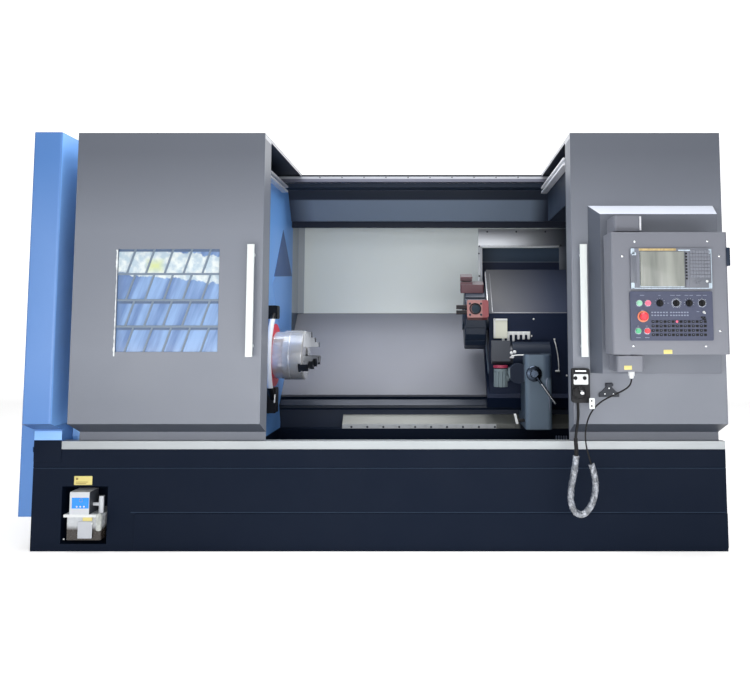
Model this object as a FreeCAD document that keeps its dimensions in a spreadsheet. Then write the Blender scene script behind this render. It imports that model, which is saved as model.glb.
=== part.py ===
"""A CNC turning lathe with a slanted bed, two sliding doors and a swivelling control box.

Millimetres, Z up, floor at Z = 0. X runs along the spindle from the chuck side (negative) to the
tailstock side, Y runs from the operator (negative) to the back. The origin is on the floor, under
the working space. The spindle's line is parallel to X at (spindle_y, spindle_z). The bed slants at
45 degrees: "slope" lengths run up along it, "rise" lengths stand off it towards the operator.
"""

import FreeCAD
import Part
import Sketcher

import math
import os
import re

Vector = FreeCAD.Vector

# ---------------------------------------------------------------------------------------------
# Driving dimensions
# ---------------------------------------------------------------------------------------------

SIZES = {
    # gaps
    "seat_gap": 0.3,
    "bearing_gap": 0.05,
    "sheet": 6,
    # base and its rail
    "base_left": 1860,
    "base_right": 1858,
    "base_front": 705,
    "base_back": 1150,
    "base_height": 547,
    "deck_drop": 27,
    "rim_width": 65,
    "trough_left": 738,
    "trough_right": 1450,
    "trough_depth": 220,
    "trough_clearance": 2,
    "recess_margin": 160,
    "recess_width": 245,
    "recess_bottom": 39,
    "recess_height": 300,
    "recess_depth": 145,
    "lower_cover_gap": 149,
    "lower_cover_top": 198,
    "lower_cover_bottom": 18,
    "seam_drop": 111,
    "seam_width": 4,
    "strip_height": 31,
    "strip_depth": 55,
    # slanted bed: the lower front corner of its cover, and sizes along the slope
    "slope_y": 310,
    "slope_height": 215,
    "cover_run": 785,
    "cover_thickness": 8,
    "bed_drop": 60,
    "bed_clearance": 152,
    "bed_margin": 168,
    "bed_setback": 100,
    "slide_rail_width": 50,
    "slide_rail_height": 35,
    "slide_rail_margin": 15,
    "way_left": 321,
    "way_setback": 70,
    "way_height": 30,
    "way_drop": 56,
    "way_hole_radius": 9,
    "way_hole_pitch": 100,
    # spindle line, headstock and chuck
    "spindle_offset": 245,
    "spindle_rise": 275,
    "spindle_radius": 99.7,
    "spindle_bore": 45,
    "headstock_radius": 170,
    "nose_ring_radius": 200,
    "nose_ring_reach": 8,
    "wall_front": 743,
    "wall_thickness": 12,
    "chuck_gap": 4,
    "adapter_length": 67,
    "adapter_radius": 150,
    "chuck_length": 130,
    "chuck_radius": 157.5,
    "chuck_edge": 8,
    "jaw_count": 3,
    "jaw_width": 50,
    "jaw_reach": 80,
    "jaw_inner": 52,
    "jaw_outer": 150,
    "jaw_slot_depth": 30,
    "jaw_step": 30,
    "guard_ring_radius": 311,
    "guard_tube_radius": 17,
    "guard_half_angle": 61,
    "guard_offset": 32,
    # casings
    "casing_overhang": 6,
    "casing_width": 154,
    "casing_lift": 93,
    "motor_cover_width": 69,
    "motor_cover_foot": 180,
    "motor_cover_back": 300,
    "panel_setback": 120,
    "panel_thickness": 12,
    "post_width": 47,
    "opening_overlap": 34,
    "return_depth": 100,
    "seal_front": 135,
    "seal_width": 16,
    "seal_height": 18,
    "roof_thickness": 30,
    "rear_wall": 60,
    "header_front": 420,
    "header_back": 600,
    "header_drop": 200,
    "header_nose": 35,
    # top rail
    "rail_front": 265,
    "rail_depth": 40,
    "rail_height": 48,
    # doors
    "door_overhang": 130,
    "door_height": 1549,
    "door_clearance": 107,
    "skirt_ledge": 4,
    "skirt_setback": 15,
    "skirt_height": 47,
    "roof_hook": 15,
    "roof_lip": 38,
    "roof_edge": 12,
    "left_door_margin": 87,
    "left_door_width": 1006,
    "right_door_left": 1023,
    "right_door_margin": 29,
    "window_inset": 235,
    "window_width": 540,
    "window_lift": 374,
    "window_height": 545,
    "grille_rows": 4,
    "grille_bars": 5,
    "grille_bar": 11,
    "grille_lean": 43,
    "grille_edge": 48,
    "grille_lap": 25,
    "grille_sheet": 3,
    "pane_thickness": 6,
    "handle_lift": 350,
    "handle_length": 590,
    "handle_width": 37,
    "handle_depth": 12,
    "handle_stand": 38,
    "handle_inset": 55,
    # control box and its carrier on the right door
    "carrier_inset": 89,
    "carrier_width": 669,
    "carrier_lift": 265,
    "carrier_height": 886,
    "carrier_depth": 60,
    "carrier_slant": 53,
    "swivel_inset": 150,
    "swivel_reach": 125,
    "swivel_block_left": 62,
    "swivel_block_right": 74,
    "swivel_block_height": 79,
    "swivel_pin": 22,
    "box_inset": 52,
    "box_width": 574,
    "box_lift": 106,
    "box_height": 601,
    "box_reach": 115,
    "box_depth": 175,
    "box_corner": 14,
    "unit_width": 400,
    "unit_height": 200,
    "unit_inset": 92,
    "unit_lift": 320,
    "unit_depth": 12,
    "screen_left": 44,
    "screen_width": 226,
    "screen_height": 176,
    "screen_inset": 5,
    "keypad_left": 296,
    "keypad_width": 94,
    "keypad_height": 150,
    "panel_plate_width": 402,
    "panel_plate_height": 240,
    "panel_plate_inset": 86,
    "panel_plate_lift": 68,
    "panel_plate_depth": 14,
    "button_radius": 13,
    "button_height": 14,
    "button_travel": 4,
    "stop_radius": 20,
    "stop_height": 30,
    "knob_radius": 17,
    "knob_height": 22,
    "upper_row_lift": 182,
    "stop_lift": 117,
    "lower_row_lift": 47,
    "feed_hold_inset": 79,
    "cycle_start_inset": 35,
    "stop_inset": 61,
    "key_switch_inset": 350,
    "spindle_knob_inset": 287,
    "feed_knob_inset": 224,
    "mode_knob_inset": 144,
    "power_off_inset": 85,
    "power_on_inset": 43,
    # hand pendant, its hook and its gland
    "pendant_overhang": 14,
    "pendant_width": 94,
    "pendant_lift": 112,
    "pendant_height": 178,
    "pendant_depth": 32,
    "pendant_corner": 12,
    "pendant_loop": 9,
    "wheel_radius": 36,
    "wheel_height": 16,
    "wheel_lift": 53,
    "wheel_inset": 39,
    "dial_radius": 10,
    "dial_height": 12,
    "step_dial_inset": 67,
    "axis_dial_inset": 19,
    "dial_lift": 128,
    "hook_offset": 145,
    "hook_lift": 101,
    "hook_width": 106,
    "hook_height": 40,
    "hook_stem": 34,
    "hook_drop": 33,
    "hook_lip": 35,
    "gland_radius": 16,
    "gland_length": 38,
    "cord_radius": 4,
    "sleeve_radius": 18,
    "lead_radius": 7,
    # carriage, cross slide and turret
    "saddle_left": 640,
    "saddle_right": 1245,
    "saddle_foot": 90,
    "saddle_head": 870,
    "saddle_lift": 15,
    "saddle_rise": 75,
    "curtain_left": 860,
    "curtain_right": 1560,
    "curtain_gap": 2,
    "curtain_drop": 50,
    "curtain_frame_rim": 150,
    "frame_overlap_right": 55,
    "frame_overlap_left": 30,
    "curtain_window_height": 496,
    "apron_offset": 90,
    "apron_height": 545,
    "slide_head": 771,
    "slide_wall": 6,
    "slide_inset_right": 19,
    "slide_inset_left": 15,
    "turret_reach": 328,
    "turret_clearance": 26,
    "turret_width": 138,
    "stations": 12,
    "station_tilt": 15,
    "turret_apothem": 193,
    "turret_hub": 74,
    "turret_edge": 6,
    "station_slot": 20,
    "station_slot_depth": 8,
    "cap_radius": 70,
    "cap_height": 14,
    "boring_width": 138,
    "boring_height": 118,
    "boring_depth": 62,
    "boring_inset": 11,
    "boring_offset": 12,
    "boring_corner": 10,
    "boring_floor": 10,
    "boring_bore": 20,
    "boring_mouth": 31,
    "boring_mouth_depth": 10,
    "prong_reach": 70,
    "prong_setback": 14,
    "prong_width": 22,
    "turning_width": 154,
    "turning_overhang": 27,
    "turning_block": 78,
    "turning_depth": 110,
    "turning_base": 58,
    "turning_groove_lift": 16,
    "turning_groove": 26,
    "turning_height": 110,
    "turning_edge": 6,
    "turning_web": 8,
    "coolant_width": 90,
    "coolant_height": 127,
    "coolant_depth": 25,
    "coolant_lift": 105,
    "coolant_inset": 29,
    # tailstock
    "tail_left": 855,
    "tail_width": 166,
    "tail_reach": 180,
    "tail_edge": 30,
    "tail_back_lift": 120,
    "tail_cap": 10,
    "tail_lift": 38,
    "barrel_radius": 85,
    "barrel_tail": 9,
    "barrel_overhang": 65,
    "barrel_wall": 5,
    "quill_radius": 60,
    "quill_reach": 132,
    "quill_length": 340,
    "socket_radius": 22,
    "socket_depth": 120,
    "clamp_radius": 62,
    "clamp_front": 70,
    "clamp_drop": 110,
    "clamp_offset": 39,
    "motor_radius": 44,
    "motor_length": 113,
    "motor_drop": 25,
    "motor_setback": 55,
    "motor_offset": 104,
    "motor_flutes": 10,
    "flute_radius": 7,
    "motor_ring": 16,
    "lever_hub_radius": 48,
    "lever_hub_depth": 34,
    "lever_rod_radius": 8,
    "lever_length": 224,
    "lever_drop": 108,
    "lever_inset": 53,
    "lever_lean": 55,
    # lubrication unit in the base's recess
    "tank_height": 121,
    "tank_lift": 29,
    "tank_overhang": 35,
    "tank_clearance": 15,
    "tank_inset": 45,
    "lid_height": 14,
    "lid_overhang": 8,
    "pump_width": 106,
    "pump_depth": 112,
    "pump_height": 130,
    "pump_overhang": 12,
    "pump_inset": 18,
    "filter_radius": 15,
    "filter_height": 86,
    "filter_setback": 40,
    "filter_offset": 17,
}

# The sine of the bed's slope
HALF = "0.70710678"

# Places that follow from the driving dimensions, as formulas
PLACES = {
    "deck_height": "base_height - deck_drop",
    "trough_back": "way_front - trough_clearance",
    "trough_floor": "deck_height - trough_depth",
    "recess_right": "recess_left - recess_width",
    "recess_top": "recess_bottom + recess_height",
    "seam_height": "base_height - seam_drop",
    "slope_z": "deck_height + slope_height",
    "bed_back": "base_back - bed_setback",
    "way_front": "slope_y - way_setback",
    "way_foot": "deck_height + way_height",
    "spindle_y": "slope_y - spindle_offset",
    "spindle_z": "slope_z + spindle_rise",
    "nose_ring_front": "wall_front - nose_ring_reach",
    "wall_top": "roof_foot",
    "chuck_back": "nose_ring_front - chuck_gap",
    "casing_right": "casing_left - casing_width",
    "casing_foot": "base_height + casing_lift",
    "motor_cover_left": "casing_left + motor_cover_width",
    "panel_front": "base_front - panel_setback",
    "post_right": "wall_front - post_width",
    "right_opening": "right_door_left + opening_overlap",
    "header_foot": "roof_foot - header_drop",
    "header_right": "bed_right",
    "door_front": "base_front + door_overhang",
    "door_top": "door_bottom + door_height",
    "door_bottom": "strip_top + door_clearance",
    "skirt_front": "base_front - skirt_setback",
    "door_back": "skirt_front - sheet - skirt_ledge",
    "skirt_top": "strip_top + skirt_height",
    "roof_back": "rail_front + rail_depth + roof_hook",
    "left_door_right": "left_door_left - left_door_width",
    "right_door_right": "base_right - right_door_margin",
    "window_left": "left_door_left - window_inset",
    "window_right": "window_left - window_width",
    "window_foot": "door_bottom + window_lift",
    "window_head": "window_foot + window_height",
    "handle_foot": "door_bottom + handle_lift",
    "carrier_left": "right_door_left + carrier_inset",
    "carrier_right": "carrier_left + carrier_width",
    "carrier_foot": "door_bottom + carrier_lift",
    "carrier_head": "carrier_foot + carrier_height",
    "swivel_x": "carrier_left + swivel_inset",
    "swivel_y": "door_front + carrier_depth + swivel_reach",
    "box_left": "carrier_left + box_inset",
    "box_right": "box_left + box_width",
    "box_foot": "carrier_foot + box_lift",
    "box_head": "box_foot + box_height",
    "box_front": "swivel_y + box_reach",
    "unit_left": "box_left + unit_inset",
    "unit_foot": "box_foot + unit_lift",
    "panel_plate_left": "box_left + panel_plate_inset",
    "panel_plate_foot": "box_foot + panel_plate_lift",
    "upper_button_row": "panel_plate_foot + upper_row_lift",
    "stop_row": "panel_plate_foot + stop_lift",
    "lower_button_row": "panel_plate_foot + lower_row_lift",
    "power_on_x": "panel_plate_left + power_on_inset",
    "power_off_x": "panel_plate_left + power_off_inset",
    "mode_knob_x": "panel_plate_left + mode_knob_inset",
    "feed_knob_x": "panel_plate_left + feed_knob_inset",
    "spindle_knob_x": "panel_plate_left + spindle_knob_inset",
    "key_switch_x": "panel_plate_left + key_switch_inset",
    "stop_x": "panel_plate_left + stop_inset",
    "cycle_start_x": "panel_plate_left + cycle_start_inset",
    "feed_hold_x": "panel_plate_left + feed_hold_inset",
    "pendant_left": "right_door_left - pendant_overhang",
    "pendant_foot": "door_bottom + pendant_lift",
    "wheel_x": "pendant_left + wheel_inset",
    "wheel_z": "pendant_foot + wheel_lift",
    "dial_row": "pendant_foot + dial_lift",
    "axis_dial_x": "pendant_left + axis_dial_inset",
    "step_dial_x": "pendant_left + step_dial_inset",
    "hook_left": "pendant_left + hook_offset",
    "hook_top": "pendant_foot + hook_lift",
    "curtain_front": "slope_y + cover_run * HALF + curtain_gap",
    "curtain_top": "roof_foot - curtain_drop",
    "curtain_frame_left": "saddle_left - frame_overlap_left",
    "curtain_frame_right": "saddle_right + frame_overlap_right",
    "curtain_frame_top": "window_top + curtain_frame_rim",
    "window_top": "curtain_foot + curtain_window_height",
    "slide_left": "saddle_left + slide_inset_left",
    "slide_right": "saddle_right - slide_inset_right",
    "apron_front": "slope_y - apron_offset",
    "apron_top": "slope_z + apron_height",
    "turret_left": "turret_right - turret_width",
    "turret_right": "slide_left - turret_clearance",
    "boring_left": "turret_left + boring_inset",
    "turning_left": "turret_left - turning_overhang",
    "coolant_left": "slide_left + coolant_inset",
    "coolant_foot": "spindle_z + coolant_lift",
    "tail_right": "tail_left + tail_width",
    "tail_front": "tail_reach - spindle_y",
    "tail_back": "spindle_y + barrel_radius + barrel_wall",
    "tail_foot": "deck_height + tail_lift",
    "tail_top": "spindle_z + tail_cap",
    "tail_foot_back": "deck_height + tail_back_lift",
    "barrel_left": "tail_left - barrel_overhang",
    "barrel_right": "tail_right + barrel_tail",
    "quill_left": "barrel_left - quill_reach",
    "clamp_x": "tail_left - clamp_offset",
    "clamp_z": "spindle_z - clamp_drop",
    "motor_x": "clamp_x - motor_offset",
    "motor_y": "spindle_y - motor_setback",
    "motor_foot": "motor_head - motor_length",
    "motor_head": "spindle_z - quill_radius - motor_drop",
    "lever_x": "tail_left + lever_inset",
    "lever_z": "spindle_z - lever_drop",
    "tank_left": "recess_left - tank_inset",
    "tank_right": "recess_right + tank_clearance",
    "tank_front": "base_front + tank_overhang",
    "tank_foot": "recess_bottom + tank_lift",
    "tank_top": "tank_foot + tank_height",
    "pump_left": "tank_left - pump_inset",
    "pump_right": "pump_left - pump_width",
    "pump_front": "tank_front + pump_overhang",
    "pump_top": "tank_top + pump_height",
    "filter_x": "tank_right + filter_offset",
    "filter_y": "tank_front - filter_setback",
    "strip_top": "base_height + strip_height",
    "rail_top": "door_top - sheet",
    "rail_foot": "rail_top - rail_height",
    "roof_foot": "rail_foot - roof_thickness",
    "curtain_foot": "slope_z + cover_run * HALF + curtain_gap",
    "turret_y": "spindle_y + turret_reach * HALF",
    "turret_z": "spindle_z + turret_reach * HALF",
    "chuck_face": "-chuck_back + adapter_length + chuck_length",
    "carrier_front": "-door_front - carrier_depth",
    "panel_face": "-box_front - panel_plate_depth",
    "left_door_left": "casing_right - left_door_margin",
    "bed_left": "casing_right - bed_clearance",
    "bed_right": "base_right - bed_margin",
    "headstock_left": "bed_left",
    "casing_left": "base_left + casing_overhang",
    "recess_left": "base_left - recess_margin",
    "lower_cover_left": "recess_right - lower_cover_gap",
}

doc = FreeCAD.newDocument("turning_lathe")
sheet = doc.addObject("Spreadsheet::Sheet", "Sizes")
for row, (alias, size) in enumerate(SIZES.items(), start=1):
    sheet.set(f"A{row}", alias)
    sheet.set(f"B{row}", str(size))
    sheet.setAlias(f"B{row}", alias)
doc.recompute()

SPINDLE_LINE = ("0", "spindle_y", "spindle_z")

subparts = []


# ---------------------------------------------------------------------------------------------
# Helpers
# ---------------------------------------------------------------------------------------------

def spell_out(word):
    """A word of a formula: a size's cell in the sheet, a place's own formula, or the word itself."""
    name = word.group()
    if name in SIZES:
        return f"Sizes.{name}"
    if name in PLACES:
        return f"({bound(PLACES[name])})"
    return HALF if name == "HALF" else name


def bound(formula):
    """The formula with every named size and place spelled out as cells of the sheet."""
    return re.sub(r"[A-Za-z][A-Za-z_0-9]*", spell_out, str(formula))


def value(formula):
    """The number that a formula gives now."""
    result = sheet.evalExpression(bound(formula))
    return float(getattr(result, "Value", result))


def on_slope(along, rise):
    """Y and Z formulas of a point given along the bed's slope and off it."""
    return (f"(slope_y + (({along}) - ({rise})) * {HALF})", f"(slope_z + (({along}) + ({rise})) * {HALF})")


def bind(thing, **formulas):
    """Bind properties to formulas, a double underscore standing for a dot."""
    for name, formula in formulas.items():
        thing.setExpression(name.replace("__", "."), bound(formula))


def place(thing, x, y, z):
    bind(thing, Placement__Base__x=x, Placement__Base__y=y, Placement__Base__z=z)


def keep(label, thing):
    """Name a finished sub-part, which is then written to its own file."""
    thing.Label = label
    subparts.append(thing)
    return thing


def new_body(name):
    return doc.addObject("PartDesign::Body", f"{name}_body")


def origin_feature(body, role):
    return next(item for item in body.Origin.OriginFeatures if item.Role == role)


def new_sketch(body, plane, height="0"):
    """An empty sketch parallel to one of the body's origin planes, at a height along its normal."""
    sketch = body.newObject("Sketcher::SketchObject", f"{body.Name}_sketch")
    sketch.AttachmentSupport = [(origin_feature(body, f"{plane}_Plane"), "")]
    sketch.MapMode = "FlatFace"
    bind(sketch, AttachmentOffset__Base__z=height)
    return sketch


def fix_point(sketch, geometry, end, point):
    """Pin a point of the sketch by its two distances from the origin."""
    for kind, formula in zip(("DistanceX", "DistanceY"), point):
        index = sketch.addConstraint(Sketcher.Constraint(kind, -1, 1, geometry, end, value(formula)))
        sketch.setExpression(f"Constraints[{index}]", bound(formula))


def draw_outline(sketch, corners):
    """A closed outline of straight edges through corners given as pairs of formulas."""
    first = sketch.GeometryCount
    points = [Vector(value(across), value(up), 0) for across, up in corners]
    for here, there in zip(points, points[1:] + points[:1]):
        sketch.addGeometry(Part.LineSegment(here, there))
    for number in range(len(corners)):
        following = first + (number + 1) % len(corners)
        sketch.addConstraint(Sketcher.Constraint("Coincident", first + number, 2, following, 1))
    for number, corner in enumerate(corners):
        fix_point(sketch, first + number, 1, corner)


def draw_circle(sketch, across, up, radius):
    centre = Vector(value(across), value(up), 0)
    circle = sketch.addGeometry(Part.Circle(centre, Vector(0, 0, 1), value(radius)))
    fix_point(sketch, circle, 3, (across, up))
    index = sketch.addConstraint(Sketcher.Constraint("Radius", circle, value(radius)))
    sketch.setExpression(f"Constraints[{index}]", bound(radius))


def draw(sketch, outlines, circles):
    for outline in outlines:
        draw_outline(sketch, outline)
    for circle in circles:
        draw_circle(sketch, *circle)


def pad(body, plane, low, high, outlines=(), circles=()):
    """Add material between two places on the axis that the plane's normal follows."""
    height = f"-({high})" if plane == "XZ" else low
    sketch = new_sketch(body, plane, height)
    draw(sketch, outlines, circles)
    feature = body.newObject("PartDesign::Pad", f"{body.Name}_pad")
    feature.Profile = sketch
    bind(feature, Length=f"({high}) - ({low})")
    body.Tip = feature
    return feature


def pocket(body, plane, low, high, outlines=(), circles=()):
    """Take material away between two places on the axis that the plane's normal follows."""
    doc.recompute()
    before = body.Shape.Volume
    height = f"-({low})" if plane == "XZ" else high
    sketch = new_sketch(body, plane, height)
    draw(sketch, outlines, circles)
    feature = body.newObject("PartDesign::Pocket", f"{body.Name}_pocket")
    feature.Profile = sketch
    bind(feature, Length=f"({high}) - ({low})")
    body.Tip = feature
    doc.recompute()
    if body.Shape.Volume >= before:
        raise RuntimeError(f"{feature.Name} takes nothing away")
    return feature


def turn(body, plane, outline, axis="H_Axis"):
    """Revolve an outline, drawn beside the axis, right round."""
    sketch = new_sketch(body, plane)
    draw_outline(sketch, outline)
    feature = body.newObject("PartDesign::Revolution", f"{body.Name}_turn")
    feature.Profile = sketch
    feature.ReferenceAxis = (sketch, [axis])
    feature.Angle = 360
    body.Tip = feature
    return feature


def around_x(body, features, count):
    """Repeat features evenly round the body's X axis."""
    pattern = body.newObject("PartDesign::PolarPattern", f"{body.Name}_pattern")
    pattern.Originals = features
    pattern.Axis = (origin_feature(body, "X_Axis"), [""])
    pattern.Angle = 360
    bind(pattern, Occurrences=count)
    body.Tip = pattern
    return pattern


def along_x(body, features, length, count):
    """Repeat features in a row along X."""
    pattern = body.newObject("PartDesign::LinearPattern", f"{body.Name}_row")
    pattern.Originals = features
    pattern.Direction = (origin_feature(body, "X_Axis"), [""])
    bind(pattern, Length=length, Occurrences=count)
    body.Tip = pattern
    return pattern


def edges_along(feature, direction, keep_edge):
    """Names of the straight edges that run along a direction and pass a test of their midpoint."""
    doc.recompute()
    names = []
    for number, edge in enumerate(feature.Shape.Edges, start=1):
        if not isinstance(edge.Curve, Part.Line):
            continue
        span = edge.Vertexes[-1].Point - edge.Vertexes[0].Point
        if span.normalize().cross(direction).Length < 1e-6 and keep_edge(edge.CenterOfMass):
            names.append(f"Edge{number}")
    return names


def soften(body, kind, feature, names, size):
    """Round ("Fillet") or bevel ("Chamfer") named edges of a feature."""
    softened = body.newObject(f"PartDesign::{kind}", f"{body.Name}_{kind.lower()}")
    softened.Base = (feature, names)
    bind(softened, **{"Radius" if kind == "Fillet" else "Size": size})
    body.Tip = softened
    return softened


def box_outline(left, right, foot, head):
    """The four corners of a rectangle."""
    return [(left, foot), (right, foot), (right, head), (left, head)]


def block(label, x, y, z):
    """A plain rectangular sub-part between pairs of places."""
    body = new_body(label)
    pad(body, "XY", z[0], z[1], [box_outline(x[0], x[1], y[0], y[1])])
    return keep(label, body)


def any_edge(_):
    return True


# ---------------------------------------------------------------------------------------------
# Base, rail and bed
# ---------------------------------------------------------------------------------------------

def make_base():
    """The welded base: a deck for the bed, a chip trough in front of it and a recess for the pump."""
    body = new_body("base")
    pad(body, "XY", "0", "base_height", [box_outline("-base_left", "base_right", "-base_front", "base_back")])
    pocket(body, "XY", "deck_height", "base_height",
           [box_outline("-base_left - 1", "base_right + 1", "-base_front + rim_width", "base_back + 1")])
    pocket(body, "YZ", "-trough_left", "trough_right",
           [[("-base_front + rim_width", "base_height"), ("-base_front + rim_width", "trough_floor + 60"),
             ("0", "trough_floor"), ("trough_back", "trough_floor"), ("trough_back", "base_height")]])
    pocket(body, "XZ", "-base_front", "-base_front + recess_depth",
           [box_outline("-recess_left", "-recess_right", "recess_bottom", "recess_top")])
    pocket(body, "XZ", "-base_front", "-base_front + seam_width",
           [box_outline("-base_left - 1", "base_right + 1", "seam_height", "seam_height + seam_width")])
    pad(body, "XZ", "-base_front - sheet", "-base_front",
        [box_outline("-lower_cover_left", "base_right", "lower_cover_bottom", "lower_cover_top")])
    keep("base", body)


def make_front_rail():
    """The stainless strip that the doors' skirts run on, with a groove for their rollers."""
    body = new_body("front_rail")
    front = "-base_front - 1"
    back = "(-base_front + strip_depth)"
    pad(body, "YZ", "-casing_right + seat_gap", "base_right",
        [[(front, "base_height - 12"), ("-base_front - seat_gap", "base_height - 12"),
          ("-base_front - seat_gap", "base_height"), (back, "base_height"), (back, "strip_top"),
          (f"{back} - 12", "strip_top"), (f"{back} - 12", "strip_top - 8"),
          (f"{back} - 20", "strip_top - 8"), (f"{back} - 20", "strip_top"), (front, "strip_top")]])
    keep("front_rail", body)


def make_bed():
    """The slant bed casting: a 45 degree face for the carriage above a step for the tailstock way."""
    body = new_body("bed")
    step_top = "(way_foot + way_drop)"
    step_back = "(way_front + way_drop)"
    low = on_slope("-saddle_foot + 10", "-bed_drop")
    high = on_slope("saddle_head", "-bed_drop")
    pad(body, "YZ", "-bed_left", "bed_right",
        [[(step_back, "deck_height"), (step_back, low[1]), low, high, ("bed_back", high[1]),
          ("bed_back", "deck_height")]])
    pad(body, "YZ", "-way_left", "bed_right",
        [[("way_front + 6", "deck_height"), (step_back, "deck_height"), (step_back, f"{step_top} - 8"),
          ("way_front + 6", "way_foot - 2")]])
    keep("bed", body)


def slide_rail(body, low_along):
    """One hardened rail with relieved flanks, lying on the slanted face."""
    width = "slide_rail_width"
    foot = "-bed_drop"
    top = "(slide_rail_height - bed_drop)"
    waist = f"({low_along} + 8)"
    far_waist = f"({low_along} + {width} - 8)"
    outline = [on_slope(low_along, foot), on_slope(f"{low_along} + {width}", foot),
               on_slope(f"{low_along} + {width}", "10 - bed_drop"), on_slope(far_waist, "18 - bed_drop"),
               on_slope(f"{low_along} + {width}", f"{top} - 6"), on_slope(f"{low_along} + {width}", top),
               on_slope(low_along, top), on_slope(low_along, f"{top} - 6"),
               on_slope(waist, "18 - bed_drop"), on_slope(low_along, "10 - bed_drop")]
    return pad(body, "YZ", "-bed_left + 10", "bed_right - 10", [outline])


def make_guide_ways():
    """The carriage's two rails, and the tailstock's way with its row of counterbored holes."""
    rails = new_body("slide_rails")
    slide_rail(rails, "(-slide_rail_width - slide_rail_margin - 5)")
    upper = new_body("upper_rail")
    slide_rail(upper, "(cover_run + slide_rail_margin)")
    way = new_body("tail_way")
    step_top = "(way_foot + way_drop)"
    step_back = "(way_front + way_drop)"
    pad(way, "YZ", "-way_left", "bed_right",
        [[("way_front", "deck_height"), ("way_front + 6", "deck_height"), ("way_front + 6", "way_foot - 2"),
          (step_back, f"{step_top} - 8"), (step_back, step_top), ("way_front", "way_foot")]])
    row_start = "(-way_left + 50)"
    row_length = "(bed_right + way_left - 100)"
    hole = pocket(way, "XZ", "way_front - 1", "way_front + 4",
                  circles=[(row_start, "(deck_height + way_foot) / 2", "way_hole_radius")])
    along_x(way, [hole], row_length, f"floor({row_length} / way_hole_pitch) + 1")
    ways = doc.addObject("Part::Compound", "guide_ways_group")
    ways.Links = [rails, upper, way]
    keep("guide_ways", ways)


def make_slant_cover():
    """The sheet over the bed between the two rails, standing on one long rib."""
    body = new_body("slant_cover")
    middle = "(cover_run / 2)"
    under = "(-cover_thickness)"
    outline = [on_slope("0", "0"), on_slope("0", "-20"), on_slope("cover_thickness", "-20"),
               on_slope("cover_thickness", under), on_slope(f"{middle} - 30", under),
               on_slope(f"{middle} - 30", "-bed_drop"), on_slope(f"{middle} + 30", "-bed_drop"),
               on_slope(f"{middle} + 30", under), on_slope("cover_run", under), on_slope("cover_run", "0")]
    pad(body, "YZ", "-wall_front + seat_gap", "bed_right", [outline])
    keep("slant_cover", body)


# ---------------------------------------------------------------------------------------------
# Headstock, spindle and chuck
# ---------------------------------------------------------------------------------------------

def make_headstock():
    """The headstock casting: a box under a round barrel, with the red ring at the spindle's nose."""
    body = new_body("headstock")
    front = "(-headstock_radius)"
    back = "headstock_radius"
    inner_end = "(-wall_front - wall_thickness - seat_gap)"
    pad(body, "YZ", "-headstock_left", inner_end, [box_outline(front, back, "deck_height - spindle_z", "0")])
    pad(body, "YZ", "-headstock_left", inner_end, circles=[("0", "0", "headstock_radius")])
    pad(body, "YZ", f"{inner_end} - 10", "-nose_ring_front", circles=[("0", "0", "nose_ring_radius")])
    pocket(body, "YZ", "-headstock_left", "-nose_ring_front",
           circles=[("0", "0", "spindle_radius + seat_gap")])
    place(body, *SPINDLE_LINE)
    keep("headstock", body)


def make_wall():
    """The blue wall between the headstock and the working space, with its grey rear post."""
    body = new_body("headstock_wall")
    front = "(-panel_front + panel_thickness + seat_gap)"
    back = "(curtain_front - 9)"
    pad(body, "YZ", "-wall_front - wall_thickness", "-wall_front",
        [[(front, "deck_height"), (back, "deck_height"), (back, "wall_top"), (front, "wall_top")]],
        [("spindle_y", "spindle_z", "nose_ring_radius + seat_gap")])
    pad(body, "XY", "curtain_foot", "wall_top",
        [box_outline("-wall_front", "-post_right", f"{back} - sheet", back)])
    pad(body, "XZ", "-seal_front", "rail_front",
        [box_outline("-wall_front - seal_width", "-wall_front + 4", "wall_top", "wall_top + seal_height")])
    bed_front = "(way_front + way_drop - seat_gap)"
    bed_room = [(bed_front, "deck_height - 1"), (bed_front, "way_foot"), on_slope("-saddle_foot", "1"),
                on_slope("saddle_head + 60", "1"), (f"{back} + 200", "deck_height - 1")]
    pocket(body, "YZ", "-wall_front - wall_thickness - 1", "-wall_front + 1", [bed_room])
    keep("headstock_wall", body)


def make_spindle():
    """The hollow spindle with the chuck's adapter plate as its flange."""
    body = new_body("spindle")
    turn(body, "XZ", [("-headstock_left - 20", "spindle_bore"), ("-headstock_left - 20", "spindle_radius"),
                      ("-chuck_back", "spindle_radius"), ("-chuck_back", "adapter_radius - 4"),
                      ("-chuck_back + 4", "adapter_radius"),
                      ("-chuck_back + adapter_length", "adapter_radius"),
                      ("-chuck_back + adapter_length", "spindle_bore")])
    place(body, *SPINDLE_LINE)
    keep("spindle", body)


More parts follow.
